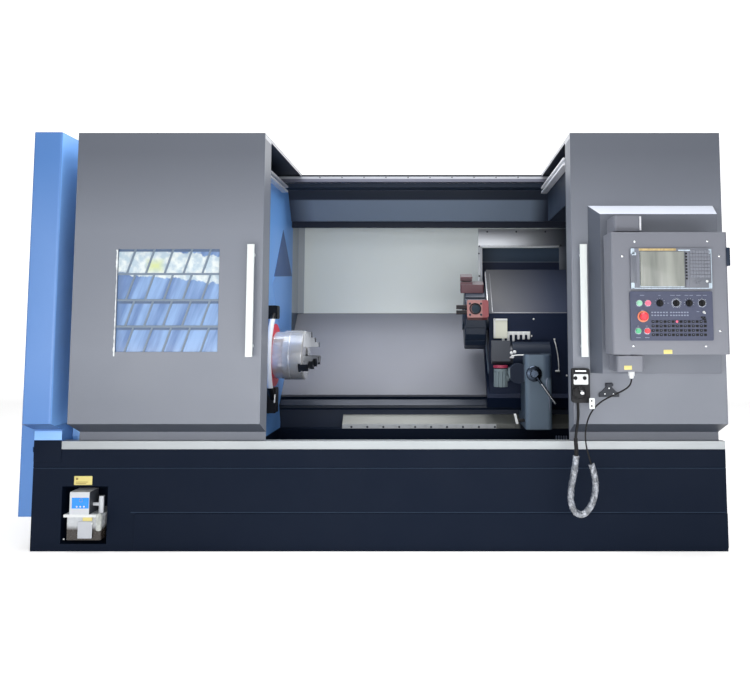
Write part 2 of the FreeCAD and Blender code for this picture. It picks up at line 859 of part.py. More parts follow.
def make_chuck_body():
    """The chuck: a bored drum with a groove round it and one stepped slot for each jaw."""
    body = new_body("chuck_body")
    back = "(-chuck_back + adapter_length)"
    turn(body, "XZ", [(back, "spindle_bore"), (back, "chuck_radius"),
                      (f"{back} + 40", "chuck_radius"), (f"{back} + 42", "chuck_radius - 3"),
                      (f"{back} + 46", "chuck_radius - 3"), (f"{back} + 48", "chuck_radius"),
                      ("chuck_face - chuck_edge", "chuck_radius"),
                      ("chuck_face", "chuck_radius - chuck_edge"), ("chuck_face", "spindle_bore")])
    half_slot = "(jaw_width / 2 + seat_gap)"
    half_key = "(jaw_width / 2 + 8 + seat_gap)"
    slot_floor = "(chuck_face - jaw_slot_depth - seat_gap)"
    slot = pocket(body, "YZ", slot_floor, "chuck_face + 1",
                  [box_outline(f"-{half_slot}", half_slot, "spindle_bore - 20", "chuck_radius + 5")])
    key = pocket(body, "YZ", slot_floor, f"{slot_floor} + jaw_slot_depth / 2",
                 [box_outline(f"-{half_key}", half_key, "spindle_bore - 20", "chuck_radius + 5")])
    around_x(body, [slot, key], "jaw_count")
    place(body, *SPINDLE_LINE)
    keep("chuck_body", body)


def make_jaw(number):
    """A hard jaw: a keyed base in the slot under a top with two gripping steps."""
    label = f"chuck_jaw_{number}"
    body = new_body(label)
    floor = "(chuck_face - jaw_slot_depth)"
    top = "(chuck_face + jaw_reach)"
    half = "(jaw_width / 2)"
    pad(body, "XZ", f"-{half}", half,
        [[(floor, "jaw_inner"), (top, "jaw_inner"), (top, "jaw_inner + jaw_step"),
          (f"{top} - 24", "jaw_inner + jaw_step"), (f"{top} - 24", "jaw_inner + 2 * jaw_step"),
          (f"{top} - 48", "jaw_inner + 2 * jaw_step"), (f"{top} - 48", "jaw_outer"),
          (floor, "jaw_outer")]])
    pad(body, "XZ", f"-{half} - 8", f"{half} + 8",
        [box_outline(floor, f"{floor} + jaw_slot_depth / 2 - seat_gap", "jaw_inner", "jaw_outer")])
    place(body, *SPINDLE_LINE)
    angle = 360 / SIZES["jaw_count"] * (number - 1)
    body.Placement = FreeCAD.Placement(body.Placement.Base, FreeCAD.Rotation(Vector(1, 0, 0), angle))
    place(body, *SPINDLE_LINE)
    keep(label, body)


def make_chuck_guard():
    """A bent tube round the operator's side of the chuck, held by two brackets on the wall."""
    tube = doc.addObject("Part::Torus", "guard_tube")
    bind(tube, Radius1="guard_ring_radius", Radius2="guard_tube_radius", Angle3="2 * guard_half_angle")
    half = SIZES["guard_half_angle"]
    turn_up = FreeCAD.Rotation(Vector(0, 1, 0), 90)
    start = FreeCAD.Rotation(Vector(1, 0, 0), -90 - half)
    tube.Placement = FreeCAD.Placement(Vector(0, 0, 0), start * turn_up)
    place(tube, "-wall_front + guard_offset", "spindle_y", "spindle_z")
    pieces = [tube]
    end_y = f"(spindle_y - guard_ring_radius * {math.cos(math.radians(half)):.6f})"
    end_z = f"guard_ring_radius * {math.sin(math.radians(half)):.6f}"
    for sign, reach, name in (("+", "42", "upper_bracket"), ("-", "78", "lower_bracket")):
        bracket = new_body(name)
        centre = f"(spindle_z {sign} {end_z})"
        feature = pad(bracket, "XZ", f"{end_y} - 36", f"{end_y} + 40",
                      [box_outline("-wall_front", "-wall_front + guard_offset + guard_tube_radius + 6",
                                   f"{centre} - {reach}", f"{centre} + {reach}")])
        edges = edges_along(feature, Vector(0, 1, 0), lambda point: point.x > -value("wall_front") + 1)
        soften(bracket, "Fillet", feature, edges, "10")
        pieces.append(bracket)
    guard = doc.addObject("Part::MultiFuse", "chuck_guard_fuse")
    guard.Shapes = pieces
    keep("chuck_guard", guard)


# ---------------------------------------------------------------------------------------------
# Casings
# ---------------------------------------------------------------------------------------------

def make_left_end():
    """The tall blue end casing, and the lower motor cover hung on the base's end."""
    casing = new_body("left_end_casing")
    feature = pad(casing, "YZ", "-casing_left", "-casing_right",
                  [[("-door_front", "door_bottom"), ("-base_front - 1", "casing_foot"),
                    ("-base_front - 1", "base_height + seat_gap"),
                    ("-base_front + rim_width", "base_height + seat_gap"),
                    ("-base_front + rim_width", "deck_height"), ("base_back", "deck_height"),
                    ("base_back", "door_top + 4"), ("-door_front", "door_top + 4")]])
    edges = edges_along(feature, Vector(0, 0, 1), lambda point: point.y < -value("door_front") + 1)
    soften(casing, "Fillet", feature, edges, "12")
    keep("left_end_casing", casing)
    cover = new_body("motor_cover")
    feature = pad(cover, "XZ", "-base_front", "motor_cover_back",
                  [[("-motor_cover_left", "motor_cover_foot"), ("-base_left - seat_gap", "motor_cover_foot"),
                    ("-base_left - seat_gap", "deck_height - seat_gap"),
                    ("-casing_left - seat_gap", "deck_height - seat_gap"),
                    ("-casing_left - seat_gap", "casing_foot + 190"),
                    ("-motor_cover_left + 30", "casing_foot + 190"),
                    ("-motor_cover_left", "casing_foot + 160")]])
    edges = edges_along(feature, Vector(0, 0, 1), lambda point: point.x < -value("motor_cover_left") + 1)
    soften(cover, "Fillet", feature, edges, "10")
    keep("motor_cover", cover)


def make_left_front_panel():
    """The fixed blue panel behind the left door, higher beside the casing."""
    body = new_body("left_front_panel")
    step = "(-left_door_left - 15)"
    pad(body, "XZ", "-panel_front", "-panel_front + panel_thickness",
        [[("-casing_right + seat_gap", "deck_height"), ("-wall_front + 18", "deck_height"),
          ("-wall_front + 18", "wall_top"), (step, "wall_top"), (step, "door_top"),
          ("-casing_right + seat_gap", "door_top")]])
    keep("left_front_panel", body)


def make_right_enclosure():
    """The dark panel behind the right door, its return flange and the end wall."""
    body = new_body("right_enclosure")
    front = "-panel_front"
    inside = "(-panel_front + panel_thickness)"
    pad(body, "XZ", front, inside, [box_outline("right_opening", "base_right", "deck_height", "wall_top")])
    pad(body, "YZ", "right_opening", "right_opening + sheet",
        [[(inside, "deck_height"), (f"{inside} + return_depth", "deck_height"),
          (f"{inside} + return_depth", "wall_top - 250"), ("rail_front - 50", "wall_top - 250"),
          ("rail_front - 50", "wall_top"), (inside, "wall_top")]])
    pad(body, "XZ", "-seal_front - 300", "rail_front - 50",
        [box_outline("right_opening - 4", "right_opening + seal_width", "wall_top",
                     "wall_top + seal_height")])
    pad(body, "XY", "deck_height", "rail_foot",
        [box_outline("bed_right + 10", "base_right", inside, "base_back - rear_wall - seat_gap")])
    keep("right_enclosure", body)


def make_rear_enclosure():
    """The roof over the working space and the cabinet wall behind it."""
    body = new_body("rear_enclosure")
    inside = "(base_back - rear_wall)"
    roof_front = "(rail_front + rail_depth + seat_gap)"
    right_end = "(bed_right + 10 - seat_gap)"
    pad(body, "YZ", "-casing_right + seat_gap", right_end,
        [[(roof_front, "roof_foot"), (inside, "roof_foot"), (inside, "deck_height"),
          ("base_back", "deck_height"), ("base_back", "rail_foot"), (roof_front, "rail_foot")]])
    pad(body, "XZ", inside, "base_back", [box_outline(right_end, "base_right", "deck_height", "rail_foot")])
    keep("rear_enclosure", body)


def make_header_beam():
    """The slanted beam that hangs from the roof behind the opening."""
    body = new_body("header_beam")
    pad(body, "YZ", "-wall_front + seat_gap", "header_right",
        [[("header_front", "roof_foot"), ("header_back - header_nose", "header_foot"),
          ("header_back", "header_foot"), ("header_back", "roof_foot")]])
    keep("header_beam", body)


def make_top_rail():
    """The bar across the front of the roof that the doors' roofs hook over."""
    body = new_body("top_rail")
    pad(body, "YZ", "-casing_right + seat_gap", "base_right",
        [box_outline("rail_front", "rail_front + rail_depth", "rail_foot", "rail_top - seat_gap")])
    keep("top_rail", body)


# ---------------------------------------------------------------------------------------------
# Doors
# ---------------------------------------------------------------------------------------------

def door_shell(label, left, right, opening=None):
    """A folded sheet door: a hollow front with a skirt below and a roof that hooks over the rail."""
    body = new_body(label)
    wall = "sheet"
    skirt_foot = "(strip_top + seat_gap)"
    pad(body, "YZ", left, right,
        [[("-door_front", "door_bottom"), ("-skirt_front", "skirt_top"), ("-skirt_front", skirt_foot),
          (f"-skirt_front + {wall}", skirt_foot), (f"-skirt_front + {wall}", "skirt_top"),
          ("-door_back", "skirt_top"), ("-door_back", "door_top"), ("-door_front", "door_top")]])
    pocket(body, "YZ", f"{left} + {wall}", f"{right} - {wall}",
           [[(f"-door_front + {wall}", f"door_bottom + {wall}"),
             (f"-skirt_front + {wall}", f"skirt_top + {wall}"), ("-door_back + 1", f"skirt_top + {wall}"),
             ("-door_back + 1", f"door_top - {wall}"), (f"-door_front + {wall}", f"door_top - {wall}")]])
    edge_foot = "(door_top - sheet - roof_edge)"
    pad(body, "YZ", left, right,
        [[("-door_back", "rail_top"), ("roof_back - sheet", "rail_top"),
          ("roof_back - sheet", "door_top - roof_lip"), ("roof_back", "door_top - roof_lip"),
          ("roof_back", "door_top"), ("-door_back", "door_top")]])
    for start, end in ((left, f"{left} + {wall}"), (f"{right} - {wall}", right)):
        pad(body, "YZ", start, end, [box_outline("-door_back", "rail_front - 10", edge_foot, "rail_top")])
    if opening:
        pocket(body, "XZ", "-door_front - 1", f"-door_front + {wall} + 1", [opening])
    keep(label, body)


def grille_cells(row):
    """Corners of a row's openings: the one left of the first bar, the next one, and the last."""
    bars = SIZES["grille_bars"]
    row_pitch = f"((window_height + grille_bar) / {SIZES['grille_rows']})"
    pitch = f"((window_width - 2 * grille_edge - grille_lean) / {bars - 1})"
    foot = f"(window_foot + {row} * {row_pitch})"
    head = f"({foot} + {row_pitch} - grille_bar)"
    first = "(-window_left + grille_edge)"
    last = f"({first} + {bars - 1} * {pitch})"
    half = "grille_bar / 2"
    start = [("-window_left", foot), (f"{first} - {half}", foot), (f"{first} + grille_lean - {half}", head),
             ("-window_left", head)]
    middle = [(f"{first} + {half}", foot), (f"{first} + {pitch} - {half}", foot),
              (f"{first} + {pitch} + grille_lean - {half}", head), (f"{first} + grille_lean + {half}", head)]
    end = [(f"{last} + {half}", foot), ("-window_right", foot), ("-window_right", head),
           (f"{last} + grille_lean + {half}", head)]
    return start, middle, end, pitch


def make_window():
    """The window's grille of level and leaning bars, cut from one sheet, and the pane behind it."""
    body = new_body("window_grille")
    face = "(-door_front + sheet + seat_gap)"
    back = f"({face} + grille_sheet)"
    left = "-window_left - grille_lap"
    right = "-window_right + grille_lap"
    pad(body, "XZ", face, back,
        [box_outline(left, right, "window_foot - grille_lap", "window_head + grille_lap")])
    for row in range(SIZES["grille_rows"]):
        start, middle, end, pitch = grille_cells(row)
        pocket(body, "XZ", f"{face} - 1", f"{back} + 1", [start, end])
        opening = pocket(body, "XZ", f"{face} - 1", f"{back} + 1", [middle])
        along_x(body, [opening], f"{pitch} * (grille_bars - 2)", "grille_bars - 1")
    keep("window_grille", body)
    pane_front = f"({back} + seat_gap)"
    block("window_pane", (left, right), (pane_front, f"{pane_front} + pane_thickness"),
          ("window_foot - grille_lap", "window_head + grille_lap"))


def make_handle(label, middle):
    """A flat bar handle on two stand-offs."""
    body = new_body(label)
    back = "(-door_front - handle_stand)"
    left = f"({middle} - handle_width / 2)"
    right = f"({middle} + handle_width / 2)"
    bar = pad(body, "XZ", f"{back} - handle_depth", back,
              [box_outline(left, right, "handle_foot", "handle_foot + handle_length")])
    edges = edges_along(bar, Vector(0, 0, 1), lambda point: point.y < value(f"{back} - 2"))
    soften(body, "Fillet", bar, edges, "4")
    for foot in ("(handle_foot + handle_inset)", "(handle_foot + handle_length - handle_inset)"):
        pad(body, "XZ", back, "-door_front - seat_gap", circles=[(middle, foot, "handle_width / 2 - 4")])
    keep(label, body)


def make_doors():
    window = box_outline("-window_left", "-window_right", "window_foot", "window_head")
    door_shell("left_door_shell", "(-left_door_left)", "(-left_door_right)", window)
    door_shell("right_door_shell", "right_door_left", "right_door_right")
    make_window()
    make_handle("left_door_handle", "(-left_door_right - handle_inset)")
    make_handle("right_door_handle", "(right_door_left + handle_inset)")


# ---------------------------------------------------------------------------------------------
# Control box, its carrier and its controls
# ---------------------------------------------------------------------------------------------

def make_carrier():
    """The tapered housing on the right door that carries the control box."""
    body = new_body("control_carrier")
    back = new_sketch(body, "XZ", "door_front + seat_gap")
    draw_outline(back, box_outline("carrier_left", "carrier_right", "carrier_foot", "carrier_head"))
    front = new_sketch(body, "XZ", "door_front + carrier_depth")
    draw_outline(front, box_outline("carrier_left + carrier_slant", "carrier_right", "carrier_foot",
                                    "carrier_head - carrier_slant"))
    loft = body.newObject("PartDesign::AdditiveLoft", "carrier_loft")
    loft.Profile = back
    loft.Sections = [front]
    loft.Ruled = True
    body.Tip = loft
    keep("control_carrier", body)


def make_swivel_blocks():
    """The two arms on the carrier whose pins the control box turns on."""
    arms = []
    top = "(box_head + 14 + swivel_block_height)"
    for name, foot, head, pin_low, pin_high in (
            ("upper_arm", "(box_head + 14)", top, "(box_head + seat_gap)", "(box_head + 14)"),
            ("lower_arm", "(box_foot - 8 - swivel_block_height)", "(box_foot - 8)",
             "(box_foot - 8)", "(box_foot - seat_gap)")):
        body = new_body(name)
        feature = pad(body, "XY", foot, head,
                      [box_outline("swivel_x - swivel_block_left", "swivel_x + swivel_block_right",
                                   "-swivel_y - 42", "carrier_front")])
        edges = edges_along(feature, Vector(0, 0, 1), lambda point: point.y < -value("swivel_y"))
        soften(body, "Fillet", feature, edges, "16")
        pad(body, "XY", pin_low, pin_high, circles=[("swivel_x", "-swivel_y", "swivel_pin")])
        arms.append(body)
    group = doc.addObject("Part::Compound", "swivel_arms_group")
    group.Links = arms
    keep("swivel_arms", group)


def make_control_box():
    """The control box's enclosure, with rounded upright edges and a side connector."""
    body = new_body("control_box")
    shell = pad(body, "XY", "box_foot", "box_head",
                [box_outline("box_left", "box_right", "-box_front", "-box_front + box_depth")])
    soften(body, "Fillet", shell, edges_along(shell, Vector(0, 0, 1), any_edge), "box_corner")
    pad(body, "XZ", "-box_front + 30", "-box_front + 70",
        [box_outline("box_right", "box_right + 10", "box_head - 168", "box_head - 78")])
    keep("control_box", body)


def make_display_unit():
    """The display and keypad unit: one frame with a sunk screen and a sunk keypad."""
    body = new_body("display_unit")
    front = "(-box_front - unit_depth)"
    frame = pad(body, "XZ", front, "-box_front - seat_gap",
                [box_outline("unit_left", "unit_left + unit_width", "unit_foot", "unit_foot + unit_height")])
    soften(body, "Fillet", frame, edges_along(frame, Vector(0, 1, 0), any_edge), "8")
    margin = "((unit_height - screen_height) / 2)"
    pocket(body, "XZ", front, f"{front} + screen_inset",
           [box_outline("unit_left + screen_left", "unit_left + screen_left + screen_width",
                        f"unit_foot + {margin}", f"unit_foot + {margin} + screen_height")])
    pocket(body, "XZ", front, f"{front} + screen_inset",
           [box_outline("unit_left + keypad_left", "unit_left + keypad_left + keypad_width",
                        "unit_foot + 30", "unit_foot + 30 + keypad_height")])
    keep("display_unit", body)


PUSH_BUTTONS = {
    "power_on_button": ("power_on_x", "upper_button_row"),
    "power_off_button": ("power_off_x", "upper_button_row"),
    "cycle_start_button": ("cycle_start_x", "lower_button_row"),
    "feed_hold_button": ("feed_hold_x", "lower_button_row"),
}
TURNING_KNOBS = {
    "mode_knob": ("mode_knob_x", "upper_button_row"),
    "feed_knob": ("feed_knob_x", "upper_button_row"),
    "spindle_knob": ("spindle_knob_x", "upper_button_row"),
    "key_switch": ("key_switch_x", "upper_button_row"),
}


def make_operator_panel():
    """The operator's plate, with a well for each button and a shallow ring round each knob."""
    body = new_body("operator_panel")
    plate = pad(body, "XZ", "panel_face", "-box_front - seat_gap",
                [box_outline("panel_plate_left", "panel_plate_left + panel_plate_width", "panel_plate_foot",
                             "panel_plate_foot + panel_plate_height")])
    soften(body, "Fillet", plate, edges_along(plate, Vector(0, 1, 0), any_edge), "6")
    wells = [(x, z, "button_radius + seat_gap") for x, z in PUSH_BUTTONS.values()]
    wells.append(("stop_x", "stop_row", "stop_radius * 0.6 + seat_gap"))
    pocket(body, "XZ", "panel_face", "panel_face + button_travel + 5", circles=wells)
    keep("operator_panel", body)


def make_push_button(label, x, z):
    """A push button standing in its well."""
    body = new_body(label)
    turn(body, "XY", [("0", "-button_height"), ("button_radius - 2", "-button_height"),
                      ("button_radius", "-button_height + 2"), ("button_radius", "5 - seat_gap"),
                      ("0", "5 - seat_gap")], "V_Axis")
    place(body, x, "panel_face", z)
    keep(label, body)


def make_stop_button():
    """The mushroom-headed emergency stop."""
    body = new_body("stop_button")
    neck = "(stop_radius * 0.6)"
    turn(body, "XY", [("0", "-stop_height"), ("stop_radius * 0.7", "-stop_height"),
                      ("stop_radius", "-stop_height + 6"), ("stop_radius", "-stop_height + 14"),
                      (neck, "-stop_height + 20"), (neck, "5 - seat_gap"), ("0", "5 - seat_gap")], "V_Axis")
    place(body, "stop_x", "panel_face", "stop_row")
    keep("stop_button", body)


def make_knob(label, x, z, radius, height, face):
    """A selector knob: a round skirt with a raised finger bar across it."""
    body = new_body(label)
    turn(body, "XY", [("0", f"-{height} / 2"), (f"{radius} * 0.8", f"-{height} / 2"), (radius, "-2"),
                      (radius, "-seat_gap"), ("0", "-seat_gap")], "V_Axis")
    pad(body, "XZ", f"-{height}", f"-{height} / 2 + 1",
        [[(f"-{radius} * 0.24", f"-{radius} * 0.7"), (f"{radius} * 0.24", f"-{radius} * 0.7"),
          (f"{radius} * 0.24", f"{radius} * 0.55"), ("0", f"{radius} * 0.7"),
          (f"-{radius} * 0.24", f"{radius} * 0.55")]])
    place(body, x, face, z)
    keep(label, body)


def make_controls():
    for label, (x, z) in PUSH_BUTTONS.items():
        make_push_button(label, x, z)
    make_stop_button()
    for label, (x, z) in TURNING_KNOBS.items():
        make_knob(label, x, z, "knob_radius", "knob_height", "panel_face")


# ---------------------------------------------------------------------------------------------
# Hand pendant, hook and cord
# ---------------------------------------------------------------------------------------------

def make_pendant():
    """The hand pendant's case, with a carrying loop cut through its top."""
    body = new_body("hand_pendant")
    back = "(-door_front - seat_gap)"
    right = "(pendant_left + pendant_width)"
    head = "(pendant_foot + pendant_height)"
    case = pad(body, "XZ", f"{back} - pendant_depth", back,
               [box_outline("pendant_left", right, "pendant_foot", head)])
    soften(body, "Fillet", case, edges_along(case, Vector(0, 1, 0), any_edge), "pendant_corner")
    pocket(body, "XZ", f"{back} - pendant_depth", back,
           [box_outline("pendant_left + 2 * pendant_loop", f"{right} - 2 * pendant_loop",
                        f"{head} - 2.2 * pendant_loop", f"{head} - pendant_loop")])
    keep("hand_pendant", body)


def make_pendant_wheel():
    """The pulse wheel with its crank knob."""
    body = new_body("pendant_wheel")
    turn(body, "XY", [("0", "-wheel_height"), ("wheel_radius - 8", "-wheel_height"),
                      ("wheel_radius - 6", "-wheel_height + 3"), ("wheel_radius", "-wheel_height + 5"),
                      ("wheel_radius", "-3"), ("wheel_radius - 4", "-seat_gap"), ("0", "-seat_gap")],
         "V_Axis")
    pad(body, "XZ", "-wheel_height - 12", "-wheel_height + 1", circles=[("0", "wheel_radius * 0.55", "7")])
    place(body, "wheel_x", "-door_front - seat_gap - pendant_depth", "wheel_z")
    keep("pendant_wheel", body)


def make_hook():
    """The pendant's T-shaped bracket with an upturned lip."""
    body = new_body("pendant_hook")
    right = "(hook_left + hook_width)"
    middle = "((hook_left + hook_width / 2))"
    foot = "(hook_top - hook_height)"
    pad(body, "XZ", "-door_front - 4", "-door_front - seat_gap",
        [[("hook_left", foot), (f"{middle} - hook_stem / 2", foot),
          (f"{middle} - hook_stem / 2", f"{foot} - hook_drop"),
          (f"{middle} + hook_stem / 2", f"{foot} - hook_drop"), (f"{middle} + hook_stem / 2", foot),
          (right, foot), (right, "hook_top"), ("hook_left", "hook_top")]])
    pad(body, "YZ", f"{middle} - hook_stem / 2", f"{middle} + hook_stem / 2",
        [[("-door_front - 4", f"{foot} - hook_drop"), ("-door_front - 4", f"{foot} - hook_drop + 5"),
          ("-door_front - hook_lip + 5", f"{foot} - hook_drop + 5"),
          ("-door_front - hook_lip + 5", f"{foot} - hook_drop + 26"),
          ("-door_front - hook_lip", f"{foot} - hook_drop + 26"),
          ("-door_front - hook_lip", f"{foot} - hook_drop")]])
    keep("pendant_hook", body)


# The cord's route, in front of the door: from the gland, down, round its wrapped loop and up again
# to the pendant. Points are chosen by hand.
CORD_ROUTE = [(1290, -985, 927.6), (1288, -980, 902), (1268, -966, 878), (1232, -950, 856),
              (1192, -936, 836), (1152, -922, 812), (1118, -908, 780), (1092, -898, 738),
              (1076, -890, 688), (1070, -886, 636), (1074, -884, 584), (1086, -882, 534), (1100, -880, 488)]
SLEEVE_ROUTE = [(1100, -880, 488), (1114, -880, 444), (1121, -880, 398), (1119, -880, 352),
                (1108, -882, 306), (1086, -884, 262), (1052, -884, 232), (1016, -882, 242),
                (996, -879, 278), (992, -877, 326), (998, -876, 378), (1010, -875, 432), (1020, -874, 484),
                (1025, -873, 528)]
LEAD_ROUTE = [(1025, -873, 528), (1027, -872, 560), (1024, -871, 592), (1024, -870, 628),
              (1031, -868, 666), (1038, -864, 706), (1042, -858, 744), (1042, -852, 774), (1042, -851.3, 797)]


def rounded_path(points):
    """Straight runs joined by tangent arcs, and the arcs' radii."""
    corners = [Vector(*point) for point in points]
    edges = []
    radii = []
    start = corners[0]
    for before, corner, after in zip(corners, corners[1:], corners[2:]):
        back = before - corner
        ahead = after - corner
        shorter = min(back.Length, ahead.Length)
        half_turn = (math.pi - back.getAngle(ahead)) / 2
        trim = 0.45 * shorter
        radii.append(trim / math.tan(half_turn))
        entry = corner + back.normalize() * trim
        leave = corner + ahead.normalize() * trim
        inward = (back + ahead).normalize()
        reach = math.hypot(radii[-1], trim) - radii[-1]
        edges.append(Part.LineSegment(start, entry).toShape())
        edges.append(Part.Arc(entry, corner + inward * reach, leave).toShape())
        start = leave
    edges.append(Part.LineSegment(start, corners[-1]).toShape())
    return Part.Wire(edges), radii


def make_tube(label, points, radius_name, gap_name=None):
    """A round tube along a route, its ends drawn back by a gap."""
    radius = value(radius_name)
    room = value(gap_name) if gap_name else 0
    ends = [Vector(*point) for point in points]
    ends[0] = ends[0] + (ends[1] - ends[0]).normalize() * room
    ends[-1] = ends[-1] + (ends[-2] - ends[-1]).normalize() * room
    path, radii = rounded_path([tuple(point) for point in ends])
    direction = ends[1] - ends[0]
    ring = Part.Wire(Part.Circle(ends[0], direction, radius).toShape())
    solid = path.makePipeShell([ring], True, False)
    expected = math.pi * radius ** 2 * path.Length
    print(label, f"length {path.Length:.0f}, least radius {min(radii):.0f},",
          f"volume ratio {solid.Volume / expected:.4f}")
    feature = doc.addObject("Part::Feature", f"{label}_tube")
    feature.Shape = solid
    feature.Placement = FreeCAD.Placement()
    keep(label, feature)


def make_gland():
    """The cord's screwed gland under the lower swivel arm."""
    body = new_body("cord_gland")
    arm_foot = "(box_foot - 8 - swivel_block_height)"
    turn(body, "XZ", [("0", "-gland_length"), ("gland_radius * 0.6", "-gland_length"),
                      ("gland_radius * 0.8", "-gland_length + 12"), ("gland_radius", "-gland_length + 14"),
                      ("gland_radius", "-seat_gap"), ("0", "-seat_gap")], "V_Axis")
    place(body, CORD_ROUTE[0][0], CORD_ROUTE[0][1], arm_foot)
    keep("cord_gland", body)


def make_pendant_set():
    make_pendant()
    make_pendant_wheel()
    face = "(-door_front - seat_gap - pendant_depth)"
    make_knob("axis_dial", "axis_dial_x", "dial_row", "dial_radius", "dial_height", face)
    make_knob("step_dial", "step_dial_x", "dial_row", "dial_radius", "dial_height", face)
    make_hook()
    make_gland()
    make_tube("cord_upper", CORD_ROUTE, "cord_radius")
    make_tube("cord_sleeve", SLEEVE_ROUTE, "sleeve_radius", "seat_gap")
    make_tube("cord_lower", LEAD_ROUTE, "lead_radius", "seat_gap")


# ---------------------------------------------------------------------------------------------
# Carriage, cross slide and turret
# ---------------------------------------------------------------------------------------------

def make_saddle():
    """The saddle: a slab over the bed's cover with a foot on each rail."""
    body = new_body("saddle")
    rail_top = "(slide_rail_height - bed_drop + seat_gap)"
    outline = [on_slope("-saddle_foot", rail_top), on_slope("-6", rail_top), on_slope("-6", "saddle_lift"),
               on_slope("cover_run + 6", "saddle_lift"), on_slope("cover_run + 6", rail_top),
               on_slope("saddle_head", rail_top), on_slope("saddle_head", "saddle_rise"),
               on_slope("-saddle_foot", "saddle_rise")]
    pad(body, "YZ", "saddle_left", "saddle_right", [outline])
    keep("saddle", body)


def make_curtain():
    """The upright sliding cover at the back, with a framed window for the cross slide."""
    body = new_body("sliding_curtain")
    pad(body, "XZ", "curtain_front", "curtain_front + sheet",
        [box_outline("-curtain_left", "curtain_right", "curtain_foot", "curtain_top")])
    pad(body, "XZ", "curtain_front - 3", "curtain_front",
        [box_outline("curtain_frame_left", "curtain_frame_right", "curtain_foot + 110",
                     "curtain_frame_top")])
    pocket(body, "XZ", "curtain_front - 4", "curtain_front + sheet + 1",
           [box_outline("saddle_left - seat_gap", "saddle_right + seat_gap", "curtain_foot - 1",
                        "window_top")])
    keep("sliding_curtain", body)


def make_cross_slide():
    """The cross slide's hollow housing: an upright apron below a 45 degree cover, and a cheek."""
    body = new_body("cross_slide")
    foot_rise = "(saddle_rise + seat_gap)"
    cover_rise = f"((apron_top - slope_z - apron_front + slope_y) * {HALF})"
    apron_foot = f"(slope_z + apron_front - slope_y + {foot_rise} / {HALF})"
    outline = [("apron_front", apron_foot), ("apron_front", "apron_top"), on_slope("slide_head", cover_rise),
               on_slope("slide_head", foot_rise)]
    pad(body, "YZ", "slide_left", "slide_right", [outline])
    inner_foot = f"({foot_rise} + 40)"
    inner_cover = f"({cover_rise} - slide_wall)"
    inside = "(apron_front + slide_wall)"
    pocket(body, "YZ", "slide_left + 220", "slide_right + 1",
           [[(inside, f"slope_z + {inside} - slope_y + {inner_foot} / {HALF}"),
             (inside, f"slope_z + {inside} - slope_y + {inner_cover} / {HALF}"),
             on_slope("slide_head + 1", inner_cover), on_slope("slide_head + 1", inner_foot)]])
    pad(body, "XZ", "apron_front - coolant_depth", "apron_front",
        [box_outline("coolant_left", "coolant_left + coolant_width", "coolant_foot",
                     "coolant_foot + coolant_height")])
    keep("cross_slide", body)


def turret_outline():
    """Corners of the turret's disc, one flat to a station, with a flat on top."""
    stations = SIZES["stations"]
    half_turn = math.pi / stations
    corner = f"turret_apothem / {math.cos(half_turn):.8f}"
    angles = [math.pi / 2 + (2 * number + 1) * half_turn for number in range(stations)]
    return [(f"{corner} * {math.cos(angle):.8f}", f"{corner} * {math.sin(angle):.8f}") for angle in angles]


def set_on_turret(body, tilt):
    """Put a body on the turret's axis, turned by a tilt that brings it to its station."""
    body.Placement = FreeCAD.Placement(Vector(0, 0, 0), FreeCAD.Rotation(Vector(1, 0, 0), tilt))
    place(body, "0", "turret_y", "turret_z")


def rim_edges(feature):
    """Names of the edges round a disc's two faces, which lie across X."""
    doc.recompute()
    names = []
    for number, edge in enumerate(feature.Shape.Edges, start=1):
        span = edge.Vertexes[-1].Point - edge.Vertexes[0].Point
        if abs(span.x) < 1e-6:
            names.append(f"Edge{number}")
    return names


def make_turret():
    """The twelve-station turret disc, with its hub, its cap and a key slot across each flat."""
    body = new_body("turret_disc")
    disc = pad(body, "YZ", "turret_left", "turret_right", [turret_outline()])
    soften(body, "Chamfer", disc, rim_edges(disc), "turret_edge")
    half_slot = "(station_slot / 2)"
    slot = pocket(body, "YZ", "turret_left - 1", "turret_right + 1",
                  [box_outline(f"-{half_slot}", half_slot, "turret_apothem - station_slot_depth",
                               "turret_apothem + 1")])
    around_x(body, [slot], "stations")
    pad(body, "YZ", "turret_left - cap_height", "turret_left", circles=[("0", "0", "cap_radius")])
    pad(body, "YZ", "turret_right", "slide_left - seat_gap", circles=[("0", "0", "turret_hub")])
    set_on_turret(body, SIZES["station_tilt"])
    keep("turret_disc", body)


def make_boring_holder():
    """The boring bar holder on the operator's flat, with a two-pronged insert tool beside it."""
    body = new_body("boring_holder")
    seat = "(-turret_apothem - seat_gap)"
    front = "(-turret_apothem - boring_depth)"
    right = "(boring_left + boring_width)"
    middle = "(boring_left + boring_width / 2 - boring_offset)"
    holder = pad(body, "XZ", front, seat,
                 [box_outline("boring_left", right, "-boring_height / 2", "boring_height / 2")])
    soften(body, "Fillet", holder, edges_along(holder, Vector(0, 1, 0), any_edge), "boring_corner")
    pocket(body, "XZ", front, f"{front} + boring_depth - boring_floor", circles=[(middle, "0", "boring_bore")])
    pocket(body, "XZ", front, f"{front} + boring_mouth_depth", circles=[(middle, "0", "boring_mouth")])
    for foot in ("(-prong_width * 1.3)", "(prong_width * 0.3)"):
        pad(body, "XZ", f"{front} + prong_setback", f"{front} + prong_setback + prong_width",
            [box_outline("boring_left - prong_reach", "boring_left", foot, f"{foot} + prong_width")])
    set_on_turret(body, -SIZES["station_tilt"])
    keep("boring_holder", body)


